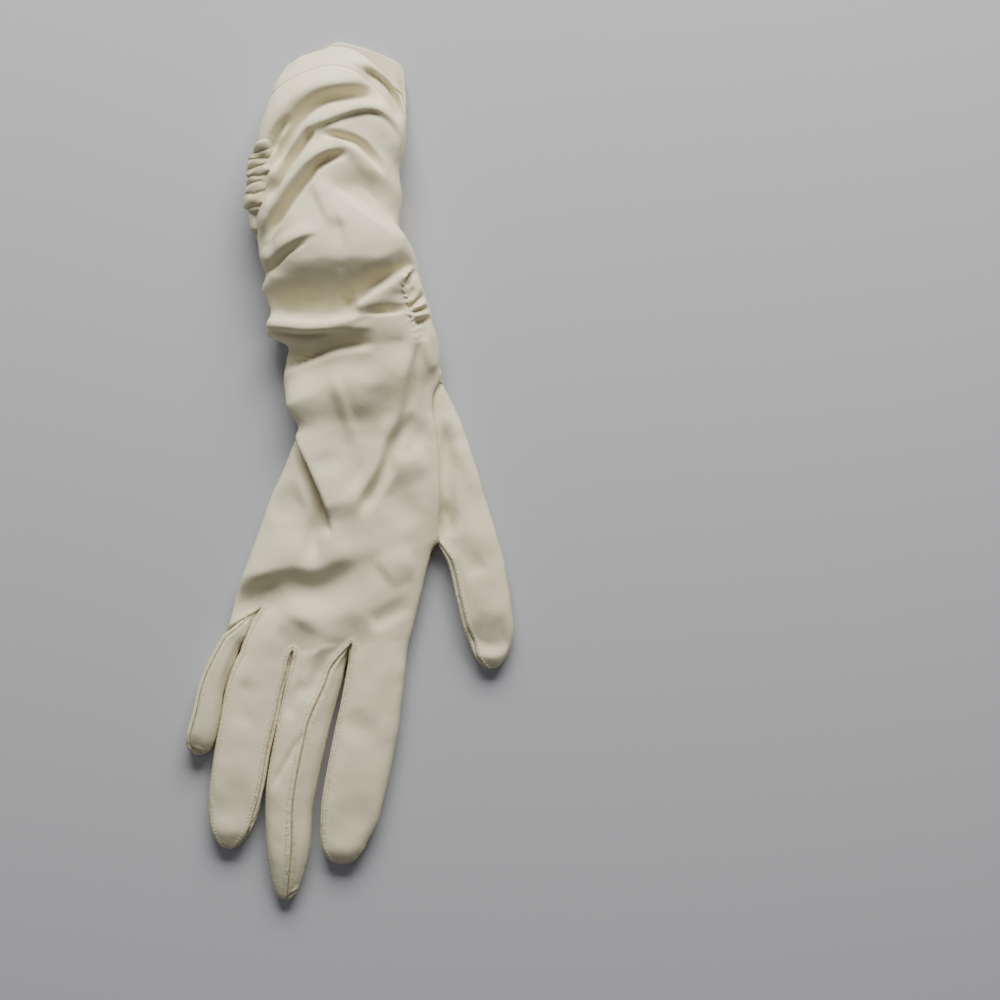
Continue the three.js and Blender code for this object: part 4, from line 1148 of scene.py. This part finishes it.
def jersey(name, light, shade):
    """Matte ivory jersey: a fine knit, slightly uneven, with creases painted tan as shade and random tan
    patches, fuzzy at its raw edges, with one small spot."""
    nodes = Nodes(name)
    place = nodes.add("ShaderNodeTexCoord", {}, {}, "Object")
    cloud = nodes.noise(place, *CLOUD)
    patches = nodes.noise(place, *PATCHES)
    grain = nodes.noise(place, *GRAIN)
    coarse = nodes.noise(place, *COARSE)
    crease, raw_edge = nodes.mark("crease"), nodes.mark("fuzz")
    knit = knit_height(nodes)
    tone = TONE.base + (cloud - 0.5) * TONE.cloud + (patches - 0.5) * TONE.patches
    # Higher knit relief lightens the tone, so the knit's grooves are painted darker as shade
    tone = tone + (grain - 0.5) * TONE.grain - knit * TONE.knit
    tone = tone + raw_edge * (coarse - TONE.raw_from) * TONE.raw_edge
    colour = nodes.mix(tone.clamped(), (*light, 1), (*shade, 1))
    fleck = (raw_edge * (coarse * 0.5 + grain * 0.5 - FLECKS.start) * FLECKS.strength).clamped()
    colour = nodes.mix(fleck, colour, (*(FLECKS.shade * c for c in shade), 1))
    # Painted shade: the creases are tinted tan and darker, and the clouds add random tan patches
    tan_shade_and_patches = (crease * CREASE_SHADE_AND_TAN_PATCHES.crease + (cloud - CREASE_SHADE_AND_TAN_PATCHES.cloud_from) * CREASE_SHADE_AND_TAN_PATCHES.cloud).clamped()
    colour = nodes.mix(tan_shade_and_patches, colour, TAN)
    ends = {0: place, 1: [c * MM for c in SPOT.place]}
    from_spot = nodes.add("ShaderNodeVectorMath", {"operation": "DISTANCE"}, ends, 1)
    near_spot = (1 - from_spot * (1 / (SPOT.size * MM)) + (grain - 0.5) * SPOT.raggedness).clamped()
    colour = nodes.mix(near_spot, colour, SPOT.brown)
    rough = coarse * (RELIEF.coarse + raw_edge * RELIEF.raw_edge)
    height = knit * RELIEF.knit + grain * RELIEF.grain + rough
    raised = {"Height": height, "Strength": RELIEF.strength, "Distance": RELIEF.depth * MM}
    bump = nodes.add("ShaderNodeBump", {}, raised)
    return nodes.finish(
        Base_Color=colour,
        Roughness=0.9,
        Normal=bump,
        Sheen_Weight=0.1,
        Sheen_Roughness=0.5,
        Sheen_Tint=(1.0, 0.97, 0.9, 1),
        Specular_IOR_Level=0.25,
    )


trank_jersey = jersey("ivory_jersey", (0.84, 0.775, 0.555), (0.72, 0.65, 0.42))
# The forks and the gathered strips wear darker copies of the same jersey, as painted shade
shaded_fork_jersey = jersey("ivory_jersey_fork", (0.80, 0.735, 0.52), (0.69, 0.62, 0.40))
shaded_gathered_jersey = jersey("ivory_jersey_gathered", (0.81, 0.74, 0.52), (0.67, 0.595, 0.37))

# The noise of the thread's twist, and how much it shades the thread
TWIST = (2500.0, 1.0)
TWIST_SHADE = 0.8


def thread(name, colour):
    """Matte cotton thread with a fine twist."""
    nodes = Nodes(name)
    place = nodes.add("ShaderNodeTexCoord", {}, {}, "Object")
    twist = nodes.noise(place, *TWIST)
    tinted = nodes.mix(twist, (*colour, 1), (*(TWIST_SHADE * c for c in colour), 1))
    return nodes.finish(Base_Color=tinted, Roughness=0.8, Sheen_Weight=0.2)


stitch_thread = thread("stitch_thread", (0.68, 0.62, 0.45))


def dress(item, material, slot, *nodes):
    """Gives a piece its finish and its place on the glove."""
    item.data.materials.append(material)
    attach(item, "root")
    if nodes:
        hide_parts(*nodes)


dress(cloth_piece("trank", ["back", "palm"], CLOTH), trank_jersey, "jersey", "trank_back", "trank_palm")
dress(cloth_piece("hem", ["hem"], HEM_CLOTH), trank_jersey, "hem_jersey", "opening_hem")
dress(cloth_piece("thumb_piece", ["thumb"], CLOTH), trank_jersey, "jersey", "thumb")
FORK_NODES = ("fourchette_ring_little", "fourchette_middle_ring", "fourchette_index_middle")
for fork, node in zip(FORKS, FORK_NODES):
    dress(cloth_piece(fork, [fork], CLOTH), shaded_fork_jersey, "fourchette_jersey", node)

# The gathered strips' cloth, which is drawn thin
STRIP_CLOTH = 0.45


def strip_object(name, points, marks):
    """A strip of cloth from a grid of points."""
    rows, columns = points.shape[:2]
    ids = np.arange(rows * columns).reshape(rows, columns)
    quads = grid_quads(ids)
    cloth = stacked(run_along(points[rows // 2])[None, :], cloth_length(points)).reshape(-1, 2)
    flat = {mark: np.broadcast_to(values, (rows, columns)).reshape(-1) for mark, values in marks.items()}
    item = mesh_object(name, points.reshape(-1, 3), quads.tolist(), cloth[quads.reshape(-1)], flat)
    thicken(item, STRIP_CLOTH)
    return item


# The gathered strip on the outer side: a stack of small rolled pleats, with the heights of the creases
# between them, how far each pleat stands out and how far across the strip it reaches. Each range of four
# numbers is where something starts, over how much it comes up, where it ends and over how much it goes
# down, as shares of the strip.
OUTER_GATHER = Named(
    place=(1.7, 7.2),
    angles=(-40.0, 46.0),
    sag=-1.5,
    squareness=2.4,
    starts=0.07,
    starts_vary=2.2,
    starts_over=0.15,
    ends_over=0.14,
    hangs=0.35,
    stands_out=2.6,
    bulge_down=(0, 0.2, 1, 0.35),
    bulge_across=(0, 0.3, 0.9, 0.5),
    sinks=1.2,
    sinks_over=0.1,
    sinks_past=0.01,
    past_creases=0.5,
    past_over=1.5,
    # How strongly the creases between the pleats are painted as shade
    crease_mark=0.7,
    fuzz=0.45,
)
OUTER_CREASES = (121.4, 117.6, 115.0, 111.7, 108.7, 105.9, 102.4, 97.4, 95.4, 88.6, 86.2)
OUTER_PLEATS = Table(
    "rise reach",
    (1.3, 0.98),
    (1.1, 1.0),
    (1.5, 0.97),
    (1.6, 1.0),
    (1.3, 0.92),
    (1.6, 0.9),
    (2.1, 0.86),
    (0.9, 0.78),
    (1.7, 0.66),
    (0.8, 0.6),
)
OUTER_GRID = (300, 60)

# How the creases waver: by how much, and how fast across the strip and along it, which begins below the
# upper one
OUTER_WAVER = ((0.35, 13, 0.9), (0.25, 23, -1.3))
WAVERS_OVER = 2


def sleeve_points(place, angle):
    """Points of the sleeve at angles round it, from 0 at the left side over 90 on the crown."""
    part = np.abs(angle) / 180
    above = arm_point(place, part, True)
    below = arm_point(place, part, False)
    return np.where((angle >= 0)[..., None], above, below)


def outer_gather():
    """The strip of pleats, whose bed sinks into the sleeve wherever no pleat stands on it."""
    g = OUTER_GATHER
    t = np.linspace(0, 1, OUTER_GRID[0])[:, None]
    u = np.linspace(0, 1, OUTER_GRID[1])[None, :]
    at = sleeve_points(lerp(*g.place, t) + 0 * u, lerp(*g.angles, u) + 0 * t)
    out = np.cross(np.gradient(at, axis=0), np.gradient(at, axis=1))
    out /= np.linalg.norm(out, axis=-1, keepdims=True)
    y = at[..., 1]
    waver = sum(size * np.sin(across * u + along * y) for size, across, along in OUTER_WAVER)
    level = y + g.sag * smooth(u) + waver * smooth((OUTER_CREASES[0] - y) / WAVERS_OVER)
    phase = np.interp(-level, [-crease for crease in OUTER_CREASES], np.arange(len(OUTER_CREASES)))
    which = np.clip(np.floor(phase).astype(int), 0, len(OUTER_CREASES) - 2)
    rise, reach = OUTER_PLEATS.column("rise")[which], OUTER_PLEATS.column("reach")[which]
    roll = (1 - np.abs(2 * (phase - which) - 1) ** g.squareness) ** (1 / g.squareness)
    start = g.starts * (1 + np.sin(g.starts_vary * which))
    edge = swell(u, start, g.starts_over, reach, g.ends_over)
    down = phase / (len(OUTER_CREASES) - 1)
    bulge = g.stands_out * swell(down, *g.bulge_down) * swell(u, *g.bulge_across)
    low, high = OUTER_CREASES[-1] - g.past_creases, OUTER_CREASES[0] + g.past_creases
    ends = swell(level, low, g.past_over, high, g.past_over)
    bed = g.sinks * (swell(u, start, g.sinks_over, reach + g.sinks_past, g.sinks_over) * ends - 1)
    height = rise * roll * edge
    points = at + out * (bed + bulge + height)[..., None]
    points[..., 1] -= g.hangs * height * edge
    # Near the creases between the pleats the strip is marked for painted shade
    crease = np.clip(1 - 2 * roll, 0, 1) * edge
    return strip_object("outer_gather", points, {"crease": g.crease_mark * crease, "fuzz": g.fuzz})


dress(outer_gather(), shaded_gathered_jersey, "shirred_jersey", "shirring_outer")

# The glove's surface, for what lies on it
surface = BVHTree.FromPolygons(
    [Vector(p) for p in skin.points],
    [[b for _, b in face] for faces in skin.corners.values() for face in faces],
)


def on_top(x, y):
    """The point of the glove under (x, y) as seen from above."""
    spot, *_ = surface.ray_cast(Vector((x, y, 100.0)), Vector((0, 0, -1)))
    return np.array(spot)


# The inner gather: the seam's own welt, jagged where the elastic thread draws it together. Its fades are
# a range of the same kind, and its bed is evened out over a few rows, which bridges small dips.
INNER_WELT = Named(
    width=0.95,
    rise=0.95,
    zigzag=0.35,
    fades=(0.12, 0.1, 0.85, 0.4),
    narrows_to=0.5,
    lowers_to=0.25,
    between_puckers=0.4,
    skew=1.4,
    sinks=0.42,
    rows=260,
    columns=14,
    bridges=11,
    # How strongly the welt is painted as shade between its puckers
    crease_mark=0.48,
    fuzz=0.3,
)


def inner_gather():
    """The welt along the gathered seam, laid on the glove's surface."""
    g = INNER_WELT
    course = line_through(INNER_SEAM, WELT_LINE_STEPS)
    length = run_along(course)
    t = np.linspace(0, 1, g.rows)
    run = t * length[-1]
    centre = np.stack([np.interp(run, length, course[:, k]) for k in range(2)], axis=-1)
    way = np.gradient(centre, axis=0)
    way /= np.linalg.norm(way, axis=1, keepdims=True)
    side = np.stack([way[:, 1], -way[:, 0]], axis=-1)
    fade = swell(t, *g.fades)
    beat = 2 * np.pi * run / PUCKERS.length
    jag = g.zigzag * fade * (2 * np.abs((beat / (2 * np.pi)) % 1 - 0.5) - 0.5) * 2
    points = np.zeros((g.rows, g.columns, 3))
    crease = np.zeros(points.shape[:2])
    for j, u in enumerate(np.linspace(-1, 1, g.columns)):
        pucker = 0.5 - 0.5 * np.cos(beat + g.skew * u)
        for i in range(g.rows):
            x, y = centre[i] + side[i] * (u * g.width * lerp(g.narrows_to, 1, fade[i]) + jag[i])
            points[i, j] = on_top(x, y)
        ends = np.full(g.bridges // 2, 1.0)
        padded = np.concatenate([points[0, j, 2] * ends, points[:, j, 2], points[-1, j, 2] * ends])
        points[:, j, 2] = np.convolve(padded, np.full(g.bridges, 1 / g.bridges), "valid")
        height = g.rise * lerp(g.lowers_to, 1, fade) * lerp(g.between_puckers, 1, pucker)
        points[:, j, 2] += height * (1 - u * u) ** 0.5 - g.sinks
        # Between the puckers the welt is marked for painted shade
        crease[:, j] = g.crease_mark * fade * (1 - pucker)
    return strip_object("inner_gather", points[:, ::-1], {"crease": crease[:, ::-1], "fuzz": g.fuzz})


dress(inner_gather(), shaded_gathered_jersey, "shirred_jersey", "shirring_inner")

# Stitching: short threads along the seams' allowances. A stitch's shape is its rings between its ends,
# each a share of its length and of its radius.
STITCH_PITCH = 1.5
STITCH_LENGTH = 1.05
STITCH_RADIUS = 0.14
STITCH_SIDES = 6
STITCH_LIFT = 0.06
STITCH_BOW = 0.12
STITCH_SHAPE = [(-0.42, 0.75), (-0.15, 1.0), (0.15, 1.0), (0.42, 0.75)]
THUMB_STITCHES_IN = 0.4
SHORTEST_SEAM = 12.0


def contours(faces, value, level):
    """The lines on the faces where a value of their points crosses a level, as chains of points."""
    links = defaultdict(list)
    for face in faces:
        ids = [b for _, b in face]
        crossed = [
            (min(a, b), max(a, b))
            for a, b in zip(ids, ids[1:] + ids[:1])
            if (value[a] < level) != (value[b] < level)
        ]
        if len(crossed) == 2:
            links[crossed[0]].append(crossed[1])
            links[crossed[1]].append(crossed[0])
    chains, seen = [], set()
    ends = [edge for edge, others in links.items() if len(others) == 1]
    for first in ends + list(links):
        if first in seen:
            continue
        chain, edge = [], first
        while edge is not None:
            seen.add(edge)
            a, b = edge
            t = (level - value[a]) / (value[b] - value[a])
            chain.append((*lerp(skin.points[a], skin.points[b], t), *lerp(normals[a], normals[b], t)))
            edge = next((other for other in links[edge] if other not in seen), None)
        chains.append(np.array(chain))
    return chains


def stitches(name, chains):
    """Threads along chains of places and facings, joined in one mesh."""
    points, faces = [], []
    ring = [(math.cos(a), math.sin(a)) for a in np.linspace(0, 2 * math.pi, STITCH_SIDES, endpoint=False)]
    for chain in chains:
        length = run_along(chain[:, :3])
        if length[-1] < SHORTEST_SEAM:
            continue
        for middle in np.arange(STITCH_PITCH / 2, length[-1] - STITCH_PITCH / 2, STITCH_PITCH):
            a, b, m = (
                np.array([np.interp(middle + s * STITCH_LENGTH / 2, length, chain[:, k]) for k in range(6)])
                for s in (-1, 1, 0)
            )
            ahead = (b - a)[:3] / max(np.linalg.norm((b - a)[:3]), 1e-6)
            up = m[3:] - ahead * (m[3:] @ ahead)
            up /= max(np.linalg.norm(up), 1e-6)
            beside = np.cross(ahead, up)
            base = len(points)
            for along, size in STITCH_SHAPE:
                bow = (STITCH_LIFT + STITCH_BOW * (0.25 - along * along)) * up
                centre = (a + b)[:3] / 2 + ahead * along * STITCH_LENGTH + bow
                points += [centre + (beside * c + up * s) * size * STITCH_RADIUS for c, s in ring]
            end = len(points)
            for along in (-0.5, 0.5):
                points.append((a + b)[:3] / 2 + ahead * along * STITCH_LENGTH + STITCH_LIFT * up)
            for j in range(STITCH_SIDES):
                n = (j + 1) % STITCH_SIDES
                for r in range(base, end - STITCH_SIDES, STITCH_SIDES):
                    faces.append([r + j, r + n, r + STITCH_SIDES + n, r + STITCH_SIDES + j])
                faces.append([end, base + n, base + j])
                faces.append([end + 1, end - STITCH_SIDES + j, end - STITCH_SIDES + n])
    return mesh_object(name, points, faces)


seam_distance[skin.belongs["hem"]] = SEAM_REACH
finger_chains = contours(skin.corners["back"] + skin.corners["palm"], seam_distance, ALLOWANCE)
thumb_chains = contours(skin.corners["thumb"], seam_distance, ALLOWANCE - THUMB_STITCHES_IN)
dress(stitches("finger_stitching", finger_chains), stitch_thread, "jersey")
dress(stitches("thumb_stitching", thumb_chains), stitch_thread, "jersey")

# The floor and the lights over it, in metres
FLOOR_SIZE = 6
FLOOR_GAP = 0.0003


def floor():
    bpy.ops.mesh.primitive_plane_add(size=FLOOR_SIZE, location=(0, 0, -FLOOR_GAP))
    plane = bpy.context.object
    plane.name = "floor"
    nodes = Nodes("pale_floor")
    grey = nodes.finish(Base_Color=(0.47, 0.47, 0.5, 1), Roughness=0.85, Specular_IOR_Level=0.2)
    plane.data.materials.append(grey)


def area_light(name, place, size, power, colour):
    data = bpy.data.lights.new(name, "AREA")
    data.shape = "RECTANGLE"
    data.size, data.size_y = size
    data.energy = power
    data.color = colour
    lamp = bpy.data.objects.new(name, data)
    lamp.location = place
    lamp.rotation_euler = (-Vector(place)).to_track_quat("-Z", "Y").to_euler()
    bpy.context.scene.collection.objects.link(lamp)


floor()
area_light("window", place=(0.09, 0.95, 0.57), size=(0.94, 0.52), power=26.0, colour=(1.0, 0.985, 0.955))
area_light("room", place=(-0.5, -0.2, 1.7), size=(1.2, 1.2), power=2.0, colour=(0.96, 0.98, 1.0))
world = bpy.data.worlds.new("soft_room")
world.use_nodes = True
sky = world.node_tree.nodes["Background"].inputs
sky["Color"].default_value = (0.9, 0.92, 1.0, 1)
sky["Strength"].default_value = 0.10
bpy.context.scene.world = world

lens = bpy.data.cameras.new("overhead")
half_view = PHOTO_SCALE * PHOTO_PIXELS / 2
lens.angle = 2 * math.atan(half_view / (CAMERA_HEIGHT - PHOTO_PLANE))
camera = bpy.data.objects.new("overhead", lens)
camera.location = (PHOTO_MIDDLE[0] * MM, PHOTO_MIDDLE[1] * MM, CAMERA_HEIGHT * MM)
bpy.context.scene.collection.objects.link(camera)
bpy.context.scene.camera = camera
